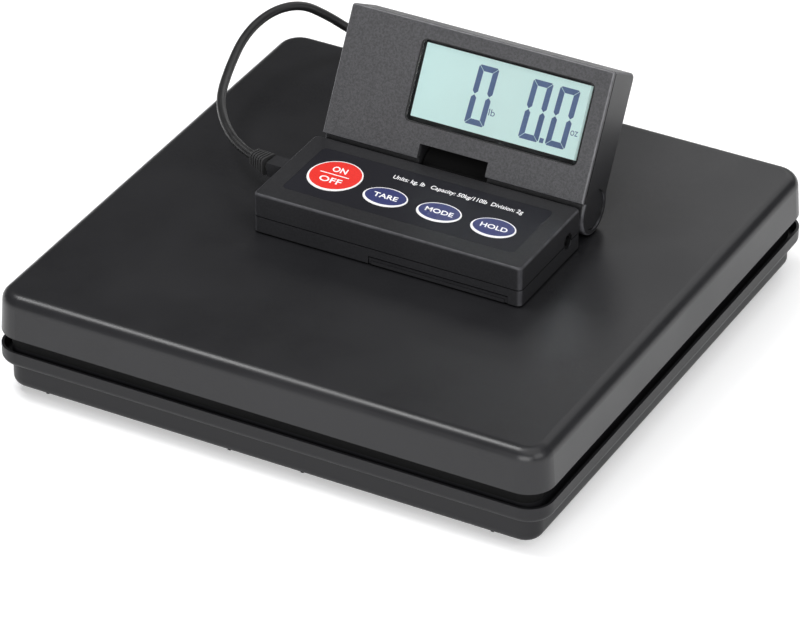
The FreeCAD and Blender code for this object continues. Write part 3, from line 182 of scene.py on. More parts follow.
def ring(name, outer, inner, place, thickness, material, body):
    """A flat frame between two outlines that have the same number of points."""
    bm = bmesh.new()
    levels = []
    for z in (0, thickness):
        levels.append([[bm.verts.new((x, y, z)) for x, y in outline] for outline in (outer, inner)])
    (low_out, low_in), (high_out, high_in) = levels
    for i in range(len(outer)):
        j = (i + 1) % len(outer)
        bm.faces.new((low_out[i], low_in[i], low_in[j], low_out[j]))
        bm.faces.new((high_out[i], high_out[j], high_in[j], high_in[i]))
        bm.faces.new((low_out[i], low_out[j], high_out[j], high_out[i]))
        bm.faces.new((low_in[i], high_in[i], high_in[j], low_in[j]))
    bm.transform(place @ Matrix.Scale(MM, 4))
    settle(add_mesh(name, bm, material), body)


def grown(box, margin):
    """A rectangle that is larger by the margin on every side."""
    return (box[0] - margin, box[1] - margin, box[2] + margin, box[3] + margin)


def sweep(path, radius, sides):
    """A capped tube along the path, without twist."""
    bm = bmesh.new()
    rings = []
    side = None
    for i, middle in enumerate(path):
        ahead = path[min(i + 1, len(path) - 1)] - path[max(i - 1, 0)]
        ahead.normalize()
        if side is None:
            side = ahead.cross(Vector((0, 0, 1)))
        side = (side - side.dot(ahead) * ahead).normalized()
        up = side.cross(ahead)
        turns = (2 * math.pi * k / sides for k in range(sides))
        rings.append([bm.verts.new(middle + radius * (math.cos(a) * side + math.sin(a) * up)) for a in turns])
    for a, b in zip(rings, rings[1:]):
        for k in range(sides):
            j = (k + 1) % sides
            bm.faces.new((a[k], a[j], b[j], b[k]))
    bm.faces.new(rings[0])
    bm.faces.new(rings[-1])
    return bm


def at(x, y, z):
    """A place in the row frame, in metres, with the print facing up."""
    return Matrix.Translation((x, y, z))


def srgb(red, green, blue):
    """A colour as it is seen on a screen, turned into the linear colour that a shader takes."""
    def linear(c):
        c /= 255
        return c / 12.92 if c <= 0.04045 else ((c + 0.055) / 1.055) ** 2.4
    return (linear(red), linear(green), linear(blue), 1.0)


def shade(colour, factor):
    """The same colour, lighter or darker."""
    return tuple(c * factor for c in colour[:3]) + (1.0,)


# ---------------------------------------------------------------- materials

MOTTLE_SIZE = 1.1 * MM
# How far the painted crevice shade reaches.
CREVICE_SHADE_REACH = 1.8 * MM
WORN_EDGE = 0.5 * MM
WEAR = 0.35
SHADE_FADE = 0.4 * MM


class Finish:
    """A material that is built node by node. Sizes are in metres, in the row frame at rest."""

    def __init__(self, name, **shader_values):
        self.material = bpy.data.materials.new(name)
        self.material.use_nodes = True
        self.tree = self.material.node_tree
        self.shader = self.tree.nodes["Principled BSDF"]
        self.bumps = None
        self.coordinates = self.node("TexCoord").outputs["Object"]
        for socket, value in shader_values.items():
            self.shader.inputs[socket.replace("_", " ")].default_value = value

    def node(self, kind, inputs=None, **settings):
        made = self.tree.nodes.new("ShaderNode" + kind)
        for key, value in settings.items():
            setattr(made, key, value)
        for socket, value in (inputs or {}).items():
            if isinstance(value, bpy.types.NodeSocket):
                self.tree.links.new(value, made.inputs[socket])
            else:
                made.inputs[socket].default_value = value
        return made

    def stretched(self, along):
        """The coordinates with each axis scaled."""
        return self.node("Mapping", {"Vector": self.coordinates, "Scale": along}).outputs[0]

    def noise(self, size, detail=2.0, along=None):
        """Cloudy noise with spots of about that size."""
        vector = self.stretched(along) if along else self.coordinates
        settings = {"Vector": vector, "Scale": 1 / size, "Detail": detail}
        return self.node("TexNoise", settings).outputs["Fac"]

    def cells(self, size):
        """Distance to the nearest of scattered points."""
        return self.node("TexVoronoi", {"Vector": self.coordinates, "Scale": 1 / size}).outputs["Distance"]

    def spread(self, value, low, high, start=0.3, stop=0.7):
        """The value's middle range, from start to stop, stretched over low to high."""
        inputs = {"Value": value, "From Min": start, "From Max": stop, "To Min": low, "To Max": high}
        return self.node("MapRange", inputs).outputs["Result"]

    def math(self, operation, a, b=0.0, clamp=False):
        return self.node("Math", {0: a, 1: b}, operation=operation, use_clamp=clamp).outputs[0]

    def mix(self, a, b, factor):
        """Colour a, turning to b with the factor."""
        return self.node("Mix", {0: factor, 6: a, 7: b}, data_type="RGBA").outputs[2]

    def edges(self, radius):
        """1 along the edges of the shape, within about that radius, and 0 on its flats."""
        rounded = self.node("Bevel", {"Radius": radius}, samples=4).outputs["Normal"]
        plain = self.node("NewGeometry").outputs["Normal"]
        facing = self.node("VectorMath", {0: rounded, 1: plain}, operation="DOT_PRODUCT").outputs["Value"]
        return self.spread(self.math("SUBTRACT", 1.0, facing), 0.0, 1.0, 0.02, 0.3)

    def rounds(self, tilt):
        """1 on rounded edges, and 0 on faces that are square to the part, which leans back by that tilt."""
        normal = self.node("TexCoord").outputs["Normal"]
        turned = {"Vector": normal, "Angle": tilt}
        level = self.node("VectorRotate", turned, rotation_type="X_AXIS").outputs[0]
        parts = self.node("SeparateXYZ", {0: level}).outputs
        x, y, z = (self.math("ABSOLUTE", part) for part in parts)
        squarest = self.math("MAXIMUM", self.math("MAXIMUM", x, y), z)
        return self.spread(self.math("SUBTRACT", 1.0, squarest), 0.0, 1.0, 0.02, 0.16)

    def crevice_shaded_colour(self, base, colour, start, stop):
        """The base colour in the open, and painted nearly black in crevices as shade."""
        openness = self.node("AmbientOcclusion", {"Distance": CREVICE_SHADE_REACH}, samples=4).outputs["AO"]
        return self.mix(shade(colour, 0.05), base, self.spread(openness, 0.0, 1.0, start, stop))

    def colour(self, value):
        self.tree.links.new(value, self.shader.inputs["Base Color"])

    def roughness(self, value):
        self.tree.links.new(value, self.shader.inputs["Roughness"])

    def bump(self, height, depth):
        """Adds relief of that depth on top of what is there."""
        inputs = {"Height": height, "Distance": depth, "Strength": 1.0}
        if self.bumps:
            inputs["Normal"] = self.bumps
        self.bumps = self.node("Bump", inputs).outputs["Normal"]
        self.tree.links.new(self.bumps, self.shader.inputs["Normal"])


def plastic(name, colour, grain, depth, rough, gloss, worn=1.8, speckle=0.12, mottle=0.0, shade_past=None,
            edge_highlight=0.0, tilt=0.0):
    """Moulded plastic: spark-eroded grain, slow colour variation, and edges that are lighter and smoother.

    The grain and its depth are in millimetres. Mottle adds spots that catch more or less light. Past a level
    along an axis, (axis, level), it is painted dark as shade, and dull. Rounded edges are painted lighter as
    a highlight, on a part with that tilt. Crevices are painted nearly black as shade.
    """
    grain, depth = grain * MM, depth * MM
    f = Finish(name, Specular_IOR_Level=gloss)
    slow = f.noise(60 * MM, 3.0)
    grain_noise = f.noise(grain, 3.0)
    fine = f.noise(grain * 0.35, 1.0)
    base = f.mix(shade(colour, 0.9), shade(colour, 1.1), f.spread(slow, 0.0, 1.0))
    base = f.mix(base, shade(colour, 1 + 4 * speckle), f.spread(fine, 0.0, speckle * 2, 0.45, 0.75))
    if mottle:
        spots = f.spread(f.noise(MOTTLE_SIZE, 3.0), 0.0, 1.0, 0.38, 0.62)
        base = f.mix(base, f.mix(shade(colour, 0.55), shade(colour, 1.6), spots), mottle)
    patches = f.spread(f.noise(4 * MM, 4.0), 0.35, 1.0)
    mask = f.math("MULTIPLY", f.edges(WORN_EDGE), f.math("MULTIPLY", patches, WEAR))
    base = f.mix(base, shade(colour, worn), mask)
    # Painted highlight: rounded edges are turned lighter in colour.
    if edge_highlight:
        base = f.mix(base, shade(colour, edge_highlight), f.math("MULTIPLY", f.rounds(tilt), patches))
    rough_slow = f.spread(slow, rough - 0.05, rough + 0.05)
    rough_all = f.math("ADD", rough_slow, f.spread(fine, -0.05, 0.05))
    rough_all = f.math("SUBTRACT", rough_all, f.math("MULTIPLY", mask, 0.25), clamp=True)
    # Painted shade: past the level along the axis, the colour is turned dark.
    if shade_past:
        axis, level = shade_past
        height = f.node("SeparateXYZ", {0: f.coordinates}).outputs[axis]
        painted_shade = f.spread(height, 0.0, 1.0, level, level + SHADE_FADE)
        base = f.mix(base, shade(colour, 0.12), painted_shade)
        rough_all = f.math("ADD", rough_all, f.math("MULTIPLY", painted_shade, 0.5), clamp=True)
    # Crevices are painted nearly black as shade.
    f.colour(f.crevice_shaded_colour(base, colour, 0.25, 0.85))
    f.roughness(rough_all)
    f.bump(grain_noise, depth)
    return f.material


def rubber(name, colour, grain, depth, rough):
    """Moulded rubber: dull, a little dusty, with fine pits. The grain and its depth are in millimetres."""
    grain, depth = grain * MM, depth * MM
    f = Finish(name, Specular_IOR_Level=0.3, Sheen_Weight=0.08, Sheen_Roughness=0.5)
    dust = f.spread(f.noise(9 * MM, 4.0), 0.0, 0.35, 0.45, 0.8)
    base = f.mix(shade(colour, 0.85), shade(colour, 1.2), f.spread(f.noise(20 * MM), 0.0, 1.0))
    base = f.mix(base, shade(colour, 2.2), dust)
    base = f.mix(base, shade(colour, 2.4), f.math("MULTIPLY", f.edges(WORN_EDGE), 0.3))
    # Crevices are painted nearly black as shade.
    f.colour(f.crevice_shaded_colour(base, colour, 0.3, 0.8))
    f.roughness(f.spread(f.noise(3 * MM, 3.0), rough - 0.08, rough + 0.08))
    f.bump(f.noise(grain, 3.0), depth)
    f.bump(f.cells(grain * 2.5), depth * 0.4)
    return f.material


def jacket(name, colour):
    """A PVC cable jacket: satin, slightly uneven, with dull scuffs."""
    f = Finish(name, Specular_IOR_Level=0.5, Coat_Weight=0.12, Coat_Roughness=0.3)
    scuffs = f.spread(f.noise(2.5 * MM, 5.0), 0.0, 0.5, 0.55, 0.8)
    base = f.mix(shade(colour, 0.85), shade(colour, 1.25), f.spread(f.noise(15 * MM), 0.0, 1.0))
    f.colour(f.mix(base, shade(colour, 2.0), scuffs))
    smooth = f.spread(f.noise(6 * MM, 3.0), 0.34, 0.48)
    f.roughness(f.math("ADD", smooth, f.math("MULTIPLY", scuffs, 0.15)))
    f.bump(f.noise(0.5 * MM, 3.0), 0.03 * MM)
    return f.material


def metal(name, colour, rough, along, lines=0.15):
    """Bare or plated metal with working marks along one axis, slow staining and bright edges."""
    f = Finish(name, Metallic=1.0)
    marks = f.noise(lines * MM, 3.0, along)
    clouds = f.noise(7 * MM, 4.0)
    base = f.mix(shade(colour, 0.75), colour, f.spread(clouds, 0.0, 1.0))
    base = f.mix(base, shade(colour, 1.12), f.spread(marks, 0.0, 0.5))
    f.colour(f.mix(base, shade(colour, 1.25), f.math("MULTIPLY", f.edges(0.4 * MM), 0.25)))
    stained = f.spread(clouds, rough - 0.06, rough + 0.08)
    f.roughness(f.math("ADD", stained, f.spread(marks, -0.04, 0.05)))
    f.bump(marks, 0.01 * MM)
    return f.material


def painted(name, colour, bare):
    """Painted pressed steel: orange peel, scuffs, and paint worn through at the edges."""
    f = Finish(name, Coat_Weight=0.2, Coat_Roughness=0.25)
    chips = f.spread(f.noise(1.6 * MM, 5.0), 0.0, 1.0, 0.52, 0.6)
    through = f.math("MULTIPLY", f.edges(0.6 * MM), chips, clamp=True)
    base = f.mix(shade(colour, 0.8), shade(colour, 1.3), f.spread(f.noise(30 * MM, 3.0), 0.0, 1.0))
    f.colour(f.mix(base, bare, through))
    f.tree.links.new(through, f.shader.inputs["Metallic"])
    paint = f.spread(f.noise(8 * MM, 3.0), 0.42, 0.58)
    f.roughness(f.math("SUBTRACT", paint, f.math("MULTIPLY", through, 0.1)))
    f.bump(f.noise(1.2 * MM, 2.0), 0.03 * MM)
    return f.material


def ink(name, colour, rough, dots=0.12, gloss=0.4):
    """Screen print: a dense layer with a slight mottle and a little texture from the mesh."""
    f = Finish(name, Specular_IOR_Level=gloss)
    mottle = f.spread(f.noise(0.8 * MM, 3.0), 0.0, 1.0)
    base = f.mix(shade(colour, 1 - dots), shade(colour, 1 + dots / 2), mottle)
    f.colour(f.mix(base, shade(colour, 0.8), f.spread(f.noise(6 * MM, 3.0), 0.0, 0.35, 0.5, 0.8)))
    f.roughness(f.spread(f.noise(1.5 * MM, 2.0), rough - 0.05, rough + 0.07))
    f.bump(f.noise(0.25 * MM, 1.0), 0.006 * MM)
    return f.material


def board(name, colour, copper):
    """Solder resist over copper: traces that show as a lighter grid, vias, and a glossy skin."""
    f = Finish(name, Coat_Weight=0.4, Coat_Roughness=0.12)
    bricks = {"Vector": f.coordinates, "Scale": 1 / (6 * MM), "Mortar Size": 0.035, "Brick Width": 0.9,
              "Row Height": 0.3}
    grid = f.node("TexBrick", bricks, offset=0.37).outputs["Fac"]
    vias = f.spread(f.cells(3.5 * MM), 1.0, 0.0, 0.1, 0.13)
    base = f.mix(shade(colour, 0.8), shade(colour, 1.2), f.spread(f.noise(12 * MM, 3.0), 0.0, 1.0))
    base = f.mix(base, shade(colour, 1.9), f.math("MULTIPLY", grid, 0.6))
    f.colour(f.mix(base, copper, f.math("MULTIPLY", vias, 0.7)))
    f.roughness(f.spread(f.noise(2 * MM, 3.0), 0.28, 0.42))
    f.bump(grid, 0.03 * MM)
    f.bump(vias, 0.02 * MM)
    return f.material


def soft_white(name, colour, rough, scatter):
    """Silicone, natural nylon or a light guide: cloudy, slightly see-through, with small stains."""
    f = Finish(name, Subsurface_Weight=scatter, Subsurface_Scale=1.5 * MM)
    clouds = f.spread(f.noise(5 * MM, 4.0), 0.0, 1.0)
    base = f.mix(shade(colour, 0.82), colour, clouds)
    f.colour(f.mix(base, shade(colour, 0.6), f.spread(f.noise(1.2 * MM, 5.0), 0.0, 0.4, 0.6, 0.85)))
    f.roughness(f.spread(f.noise(2 * MM, 3.0), rough - 0.08, rough + 0.1))
    f.bump(f.noise(0.6 * MM, 3.0), 0.03 * MM)
    return f.material


def battery_sleeve(name, colour, band):
    """The shrunk sleeves of the cells: dark and glossy, with plain lighter bands and fine wrinkles."""
    f = Finish(name, Coat_Weight=0.5, Coat_Roughness=0.1)
    along = f.node("SeparateXYZ", {0: f.coordinates}).outputs["X"]
    stripe = f.math("SINE", f.math("MULTIPLY", along, 2 * math.pi / (22 * MM)))
    base = f.mix(colour, band, f.spread(stripe, 0.0, 1.0, 0.55, 0.6))
    f.colour(f.mix(base, shade(colour, 2.5), f.spread(f.noise(1.5 * MM, 5.0), 0.0, 0.3, 0.6, 0.8)))
    f.roughness(f.spread(f.noise(4 * MM, 3.0), 0.25, 0.4))
    f.bump(f.noise(0.7 * MM, 3.0, (4.0, 0.6, 0.6)), 0.03 * MM)
    return f.material


def clear_window(name):
    """Clear acrylic with faint dust and a trace of moulding ripple."""
    f = Finish(name, Transmission_Weight=1.0, IOR=1.3, Base_Color=(0.97, 0.99, 0.99, 1.0))
    dust = f.spread(f.noise(0.9 * MM, 5.0), 0.0, 0.06, 0.62, 0.8)
    f.roughness(f.math("ADD", dust, f.spread(f.noise(9 * MM, 2.0), 0.0, 0.02)))
    f.bump(f.noise(14 * MM, 1.0), 0.004 * MM)
    return f.material


def liquid_crystal(name, left, right, glow, near, far, cast):
    """The lit panel: light from its left end, a cast shadow at the very edge, and a fine dot texture."""
    width = right - left
    f = Finish(name, Specular_IOR_Level=0.2)
    across = f.node("SeparateXYZ", {0: f.coordinates}).outputs["X"]
    share = f.math("DIVIDE", f.math("SUBTRACT", across, left), width)
    base = f.mix(near, far, f.spread(share, 0.0, 1.0, 0.0, 0.45))
    base = f.mix(cast, base, f.spread(share, 0.0, 1.0, 0.0, 0.025))
    dots = f.spread(f.noise(0.45 * MM, 2.0), 0.0, 0.05)
    base = f.mix(base, shade(far, 0.85), dots)
    base = f.mix(base, shade(far, 0.92), f.spread(f.noise(25 * MM, 2.0), 0.0, 0.3))
    f.colour(f.mix(base, shade(far, 0.25), 0.85))
    f.tree.links.new(base, f.shader.inputs["Emission Color"])
    f.shader.inputs["Emission Strength"].default_value = glow
    f.roughness(f.spread(f.noise(2 * MM, 3.0), 0.3, 0.42))
    f.bump(f.noise(0.3 * MM, 2.0), 0.004 * MM)
    return f.material


def floor_surface(name, colour):
    """A plain pale studio floor that gives off a little light, with the faintest mottle."""
    f = Finish(name, Specular_IOR_Level=0.1, Emission_Color=(1.0, 1.0, 1.0, 1.0), Emission_Strength=0.28)
    f.colour(f.mix(shade(colour, 0.985), colour, f.spread(f.noise(0.35, 3.0), 0.0, 1.0)))
    f.roughness(f.spread(f.noise(0.1, 3.0), 0.75, 0.85))
    f.bump(f.noise(4 * MM, 2.0), 0.01 * MM)
    return f.material


# ---------------------------------------------------------------- finishes of the carried-over parts

ZINC = (0.56, 0.57, 0.60, 1.0)
STEEL = (0.50, 0.50, 0.52, 1.0)
RIM_TOP = 27 * MM
PANEL_TILT = math.radians(29)
HOUSING_BACK = 26.2 * MM
LCD_GLOW = 0.6
HOUSING_COLOUR = srgb(35, 35, 37)
# The last value lightens rounded edges as a painted highlight.
HOUSING_LOOK = {"gloss": 0.2, "speckle": 0.2, "mottle": 0.25, "edge_highlight": 3.5}

glass_low, glass_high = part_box("lcd_glass")
finishes = {
    "cover_black": plastic("cover_black", srgb(30, 30, 32), 0.35, 0.008, 0.32, gloss=0.36, worn=2.0),
    # The tray is painted dark as shade above the rim's top.
    "tray_black": plastic("tray_black", srgb(25, 25, 27), 0.5, 0.012, 0.42, gloss=0.25,
                          shade_past=("Z", RIM_TOP)),
    "housing_black": plastic("housing_black", HOUSING_COLOUR, 0.4, 0.02, 0.46, **HOUSING_LOOK),
    # The hinge part is painted dark as shade behind the housing's back.
    "hinge_black": plastic("hinge_black", HOUSING_COLOUR, 0.4, 0.02, 0.46, **HOUSING_LOOK,
                           shade_past=("Y", HOUSING_BACK)),
    # The panel's shells get painted highlights on their rounded edges.
    "shell_grey": plastic("shell_grey", srgb(33, 33, 35), 0.5, 0.05, 0.42, gloss=0.4, speckle=0.3,
                          mottle=0.4, edge_highlight=6.5, tilt=PANEL_TILT),
    "socket_black": plastic("socket_black", srgb(12, 12, 13), 0.3, 0.01, 0.5, gloss=0.2),
    "panel_grey": plastic("panel_grey", srgb(56, 56, 58), 0.55, 0.07, 0.45, gloss=0.45, speckle=0.45,
                          mottle=0.5, edge_highlight=4.0, tilt=PANEL_TILT),
    "overlay_black": plastic("overlay_black", srgb(24, 24, 30), 0.3, 0.006, 0.5, gloss=0.2, speckle=0.1),
    "key_white": ink("key_white", srgb(240, 238, 238), 0.35, dots=0.03),
    "key_red": ink("key_red", srgb(224, 46, 38), 0.4),
    "key_blue": ink("key_blue", srgb(46, 52, 102), 0.4),
    "rubber_black": rubber("rubber_black", srgb(34, 34, 35), 0.5, 0.03, 0.62),
    "lead_black": jacket("lead_black", srgb(20, 20, 21)),
    "zinc_steel": metal("zinc_steel", ZINC, 0.34, (1.0, 1.0, 0.2)),
    "frame_steel": painted("frame_steel", srgb(38, 38, 40), STEEL),
    "cell_aluminium": metal("cell_aluminium", (0.72, 0.73, 0.75, 1.0), 0.38, (0.05, 1.0, 1.0), lines=0.3),
    "gauge_white": soft_white("gauge_white", (0.78, 0.78, 0.74, 1.0), 0.5, 0.2),
    "board_green": board("board_green", (0.02, 0.13, 0.05, 1.0), (0.75, 0.55, 0.2, 1.0)),
    "pin_steel": metal("pin_steel", STEEL, 0.25, (0.08, 1.0, 1.0), lines=0.2),
    "bush_nylon": soft_white("bush_nylon", (0.72, 0.70, 0.62, 1.0), 0.42, 0.15),
    "battery_skin": battery_sleeve("battery_skin", (0.02, 0.02, 0.025, 1.0), (0.45, 0.46, 0.48, 1.0)),
    "spring_steel": metal("spring_steel", (0.66, 0.63, 0.58, 1.0), 0.24, (1.0, 1.0, 1.0), lines=0.5),
    "window_clear": clear_window("window_clear"),
    "lcd_aqua": liquid_crystal("lcd_aqua", glass_low[0], glass_high[0], LCD_GLOW, srgb(211, 243, 241),
                               srgb(205, 231, 228), srgb(60, 110, 112)),
    "light_white": soft_white("light_white", (0.82, 0.87, 0.87, 1.0), 0.3, 0.1),
}

# Nodes whose finish isn't the one named after their slot. The key caps are the white rings of the keys.
other_finish = {"keypad_bottom_shell": "hinge_black", "power_inlet": "socket_black",
                "panel_back_shell": "shell_grey", "hinge_caps": "shell_grey", "power_key": "key_white",
                "tare_key": "key_white", "mode_key": "key_white", "hold_key": "key_white"}
for row in frame["record"]["subparts"]:
    finish = other_finish.get(row["node"], row["material_slot"])
    for place in nodes[row["node"]].material_slots:
        place.link = "OBJECT"
        place.material = finishes[finish]


# ---------------------------------------------------------------- the lead

LEAD_DIAMETER = 4.7 * MM
LEAD_SIDES = 28
LEAD_SMOOTHNESS = 14
LEAD_SMOOTH_ANGLE = 40
RELIEF_LEAN = math.radians(18)
RELIEF_FACE = Vector((-73.6, -5.3, 75.6))
RELIEF_REACH = 12
FIRST_RUN = 8

# The lead's route in millimetres: out of the relief, up in an arch, over the rear edge, into the rear wall.
lead_way = Vector((-math.cos(RELIEF_LEAN), math.sin(RELIEF_LEAN), 0))
lead_exit = RELIEF_FACE + RELIEF_REACH * lead_way
lead_route = [
    lead_exit,
    lead_exit + FIRST_RUN * lead_way,
    (-108.5, 11.5, 77),
    (-124.5, 31, 79.5),
    (-133.5, 56.5, 83),
    (-138.5, 82, 89),
    (-135.5, 103.5, 92.5),
    (-126.5, 119, 91.5),
    (-116.5, 128, 83),
    (-109.5, 138.5, 71.5),
    (-104.5, 151, 60),
    (-99.5, 165, 49.5),
    (-97.5, 181.5, 43),
    (-89, 192.5, 37.5),
    (-78, 197.5, 31.5),
    (-67, 197, 25.5),
    (-58, 191.5, 20),
    (-52.5, 183, 16),
    (-50, 173.5, 13),
    (-50, 160, 13),
]

line = bpy.data.curves.new("lead_line", "CURVE")
line.dimensions = "3D"
line.resolution_u = LEAD_SMOOTHNESS
spline = line.splines.new("NURBS")
spline.points.add(len(lead_route) - 1)
for point, target in zip(spline.points, lead_route):
    point.co = (*(Vector(target) * MM), 1.0)
spline.order_u = 3
spline.use_endpoint_u = True
line_holder = bpy.data.objects.new("lead_line", line)
scene.collection.objects.link(line_holder)
bpy.context.view_layer.update()
line_mesh = bpy.data.meshes.new_from_object(line_holder.evaluated_get(bpy.context.evaluated_depsgraph_get()))
lead_path = [v.co.copy() for v in line_mesh.vertices]
bpy.data.objects.remove(line_holder)
bpy.data.curves.remove(line)
bpy.data.meshes.remove(line_mesh)

tube = sweep(lead_path, LEAD_DIAMETER / 2, LEAD_SIDES)
lead = add_mesh("lead_jacket", tube, finishes["lead_black"], LEAD_SMOOTH_ANGLE)
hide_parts("display_lead")
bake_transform(lead)


# ---------------------------------------------------------------- keys

# All in millimetres, apart from the leans and weights of the letters. WHITE is the ring round a key's face.
PRINT = 0.05
WHITE_SIDE = 0.85
WHITE_BACK = 0.6
WHITE_FRONT = 1.6
FACE_SHIFT = (WHITE_FRONT - WHITE_BACK) / 2
WORD_LEAN = -0.18
POWER_WORD_WEIGHT = 0.014
KEY_WORD_WEIGHT = 0.016
LINE_HALF_WIDTH = 8
LINE_HALF_HEIGHT = 0.32
LINE_LEFT = 0.7
LINE_BEHIND = 0.3

# The words on each key: width, height, and how far right of and behind the middle of the key's face.
KEY_WORDS = {
    "power": (("on", 8.3, 4.8, -0.1, 5.2), ("off", 12.2, 4.8, -0.1, -5.0)),
    "tare": (("tare", 14.0, 3.8, 0, 0),),
    "mode": (("mode", 15.8, 3.8, 0, 0),),
    "hold": (("hold", 14.9, 3.8, 0, 0),),
}

word_white = ink("word_white", srgb(246, 245, 246), 0.38, dots=0.03)
for key, words in KEY_WORDS.items():
    slot = "key_red" if key == "power" else "key_blue"
    weight = POWER_WORD_WEIGHT if key == "power" else KEY_WORD_WEIGHT
    low, high = (Vector(corner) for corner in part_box(key + "_key"))
    middle, half, body = (low + high) / 2, (high - low) / 2 / MM, key + "_key_cap"
    back = middle.y + FACE_SHIFT * MM
    face = ellipse(half.x - WHITE_SIDE, half.y - (WHITE_BACK + WHITE_FRONT) / 2)
    add_print(key + "_face", [face], at(middle.x, back, high.z), PRINT, finishes[slot], body)
    top = high.z + PRINT * MM
    for word, width, height, right, behind in words:
        name = "power_" + word if key == "power" else key + "_word"
        add_words(name, word.upper(), width, height, at(middle.x + right * MM, back + behind * MM, top),
                  PRINT, word_white, body, weight, WORD_LEAN)
    if key == "power":
        w, h = LINE_HALF_WIDTH, LINE_HALF_HEIGHT
        add_print("power_line", [[(-w, -h), (w, -h), (w, h), (-w, h)]],
                  at(middle.x - LINE_LEFT * MM, back + LINE_BEHIND * MM, top), PRINT, word_white, body)


# ---------------------------------------------------------------- marks on the keypad film

UNIT = Vector((-65.6, -37.5, 57.4)) * MM
RATINGS = "Units: kg, lb   Capacity: 50kg/110lb  Division: 2g"
RATINGS_WIDTH = 71.9
RATINGS_HEIGHT = 4.3
RATINGS_X = UNIT.x + 89.45 * MM
RATINGS_Y = UNIT.y + 45.5 * MM
RATINGS_LEAN = -0.1
RATINGS_WEIGHT = 0.008

film_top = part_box("keypad_overlay")[1][2]
add_words("ratings_line", RATINGS, RATINGS_WIDTH, RATINGS_HEIGHT, at(RATINGS_X, RATINGS_Y, film_top), PRINT,
          word_white, "display_base", RATINGS_WEIGHT, RATINGS_LEAN)


# ---------------------------------------------------------------- the number display

PANEL_ORIGIN = Vector((-65.6, 40.5, 70.8)) * MM
panel = Matrix.Translation(PANEL_ORIGIN) @ Matrix.Rotation(math.pi / 2 - PANEL_TILT, 4, "X")

# In millimetres along, up and out of the panel. A box is its left, low, right and high sides.
GLASS_FRONT = 13.8
RING_PRINT = 0.06
WINDOW_FACE = 15.32
GASKET_DEPTH = 1.4
WINDOW = (44.6, 19.2, 140.2, 61.1)
WINDOW_CORNER = 3.0
SHOWN = (46.5, 22.0, 138.4, 59.3)
SHOWN_CORNER = 0.4
BORDER_MARGIN = 0.9
GASKET_WIDTH = 0.45


def on_panel(across, up, out):
    """A place for print that faces out of the panel, in millimetres along, up and out of it."""
    return panel @ Matrix.Translation(Vector((across, up, out)) * MM)


border_ink = ink("border_ink", srgb(22, 22, 24), 0.45, dots=0.2, gloss=0.25)
border_outline = round_corners(grown(WINDOW, BORDER_MARGIN), WINDOW_CORNER + BORDER_MARGIN)
ring("window_border", border_outline, round_corners(SHOWN, SHOWN_CORNER), on_panel(0, 0, GLASS_FRONT),
     RING_PRINT, border_ink, "display_panel")
gasket_inside = round_corners(grown(WINDOW, -GASKET_WIDTH), WINDOW_CORNER - GASKET_WIDTH)
ring("window_gasket", round_corners(WINDOW, WINDOW_CORNER), gasket_inside, on_panel(0, 0, WINDOW_FACE),
     GASKET_DEPTH, finishes["rubber_black"], "display_panel")


# Seven-bar numbers, from the foot to the top: bars of one thickness, with clipped corners, mitred ends and
# a gap between them.
DIGIT_WIDTH = 10.9
DIGIT_FOOT = 25.6
DIGIT_TOP = 55.5
BAR = 2.9
GAP = 0.16
CLIP = 0.8
SLANT = 0.043


def lean(points, across):
    """Leans a number's points to the right and puts its foot in place."""
    return [(across + x + SLANT * y, DIGIT_FOOT + y) for x, y in points]


def zero_bars(across):
    """The six lit bars of a zero."""
    w, h, t, g, c = DIGIT_WIDTH, DIGIT_TOP - DIGIT_FOOT, BAR, GAP, CLIP
    middle = h / 2
    lower = [(c + g, 0), (w - c - g, 0), (w - c / 2 - g, c / 2), (w - t - g, t), (t + g, t),
             (c / 2 + g, c / 2)]
    left = [(0, c + g), (c / 2, c / 2 + g), (t, t + g), (t, middle - t / 2 - g), (t / 2, middle - g),
            (0, middle - t / 2 - g)]
    upper = [(x, h - y) for x, y in reversed(lower)]
    left_high = [(x, h - y) for x, y in reversed(left)]
    right = [(w - x, y) for x, y in reversed(left)]
    right_high = [(w - x, h - y) for x, y in left]
    return [lean(bar, across) for bar in (lower, left, upper, left_high, right, right_high)]


NUMBERS_ACROSS = {"first": 75.4, "second": 105.3, "third": 120.0}
POINT = [(-1.1, -1.2), (1.1, -1.2), (1.2, 1.2), (-1.0, 1.2)]
POINT_AT = (117.9, 27.1)

segment_ink = ink("segment_ink", srgb(86, 103, 138), 0.4, dots=0.1, gloss=0.2)
for number, across in NUMBERS_ACROSS.items():
    add_print(number + "_number", zero_bars(across), on_panel(0, 0, GLASS_FRONT), PRINT,
              segment_ink, "display_panel")
add_print("decimal_point", [POINT], on_panel(*POINT_AT, GLASS_FRONT), PRINT, segment_ink, "display_panel")
for unit, word, width, height, across, up in (("pounds", "lb", 3.4, 3.4, 88.9, 33.8),
                                              ("ounces", "oz", 4.0, 2.6, 133.9, 34.6)):
    add_words(unit + "_mark", word, width, height, on_panel(across, up, GLASS_FRONT), PRINT, segment_ink,
              "display_panel")


# ---------------------------------------------------------------- floor, lights and surroundings

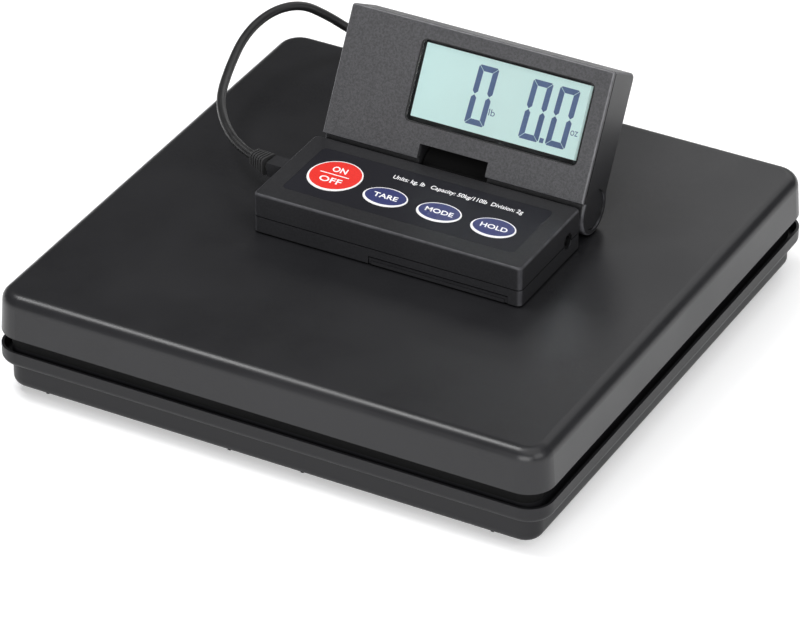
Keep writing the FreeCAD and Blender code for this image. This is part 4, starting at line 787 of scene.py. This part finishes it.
FLOOR_HALF_WIDTH = 6
LIGHT_AIM = Vector((0, 0, 0.04))
SURROUND_LIGHT = 0.12
BACKGROUND = (0.93, 0.93, 0.935, 1)

bm = bmesh.new()
bmesh.ops.create_grid(bm, x_segments=8, y_segments=8, size=FLOOR_HALF_WIDTH)
floor = add_mesh("studio_floor", bm, floor_surface("studio_floor", (0.86, 0.86, 0.865, 1.0)))


def softbox(name, direction, distance, width, height, radiance):
    """A soft white light at a distance in that direction from its aim, as bright as its radiance says."""
    light = bpy.data.lights.new(name, "AREA")
    light.shape = "RECTANGLE"
    light.size = width
    light.size_y = height
    light.energy = radiance * math.pi * width * height
    holder = bpy.data.objects.new(name, light)
    way = Vector(direction).normalized()
    turn = way.to_track_quat("Z", "Y").to_matrix().to_4x4()
    holder.matrix_world = Matrix.Translation(LIGHT_AIM + distance * way) @ turn
    scene.collection.objects.link(holder)


softbox("key_light", (-0.40, -0.10, 0.91), 1.8, 0.62, 0.62, 14)
softbox("top_light", (0.15, -0.1, 1.0), 2.3, 2.4, 2.4, 1.4)
softbox("front_light", (0.25, -1.0, 0.35), 2.0, 1.6, 0.9, 6.0)
softbox("right_light", (1.0, -0.35, 0.6), 1.9, 1.0, 1.0, 3.4)
softbox("rear_light", (0.05, 0.85, 0.55), 1.3, 1.0, 0.8, 1.3)

# The surroundings give a little light, and the camera sees them as a plain pale backdrop.
world = bpy.data.worlds.new("studio")
world.use_nodes = True
scene.world = world
made, links = world.node_tree.nodes, world.node_tree.links
surround = made["Background"]
surround.inputs["Color"].default_value = (1, 1, 1, 1)
surround.inputs["Strength"].default_value = SURROUND_LIGHT
seen = made.new("ShaderNodeBackground")
seen.inputs["Color"].default_value = BACKGROUND
seen.inputs["Strength"].default_value = 1.0
which = made.new("ShaderNodeLightPath")
either = made.new("ShaderNodeMixShader")
links.new(which.outputs["Is Camera Ray"], either.inputs[0])
links.new(surround.outputs[0], either.inputs[1])
links.new(seen.outputs[0], either.inputs[2])
links.new(either.outputs[0], made["World Output"].inputs["Surface"])


# ---------------------------------------------------------------- last update of the scene

bpy.context.view_layer.update()
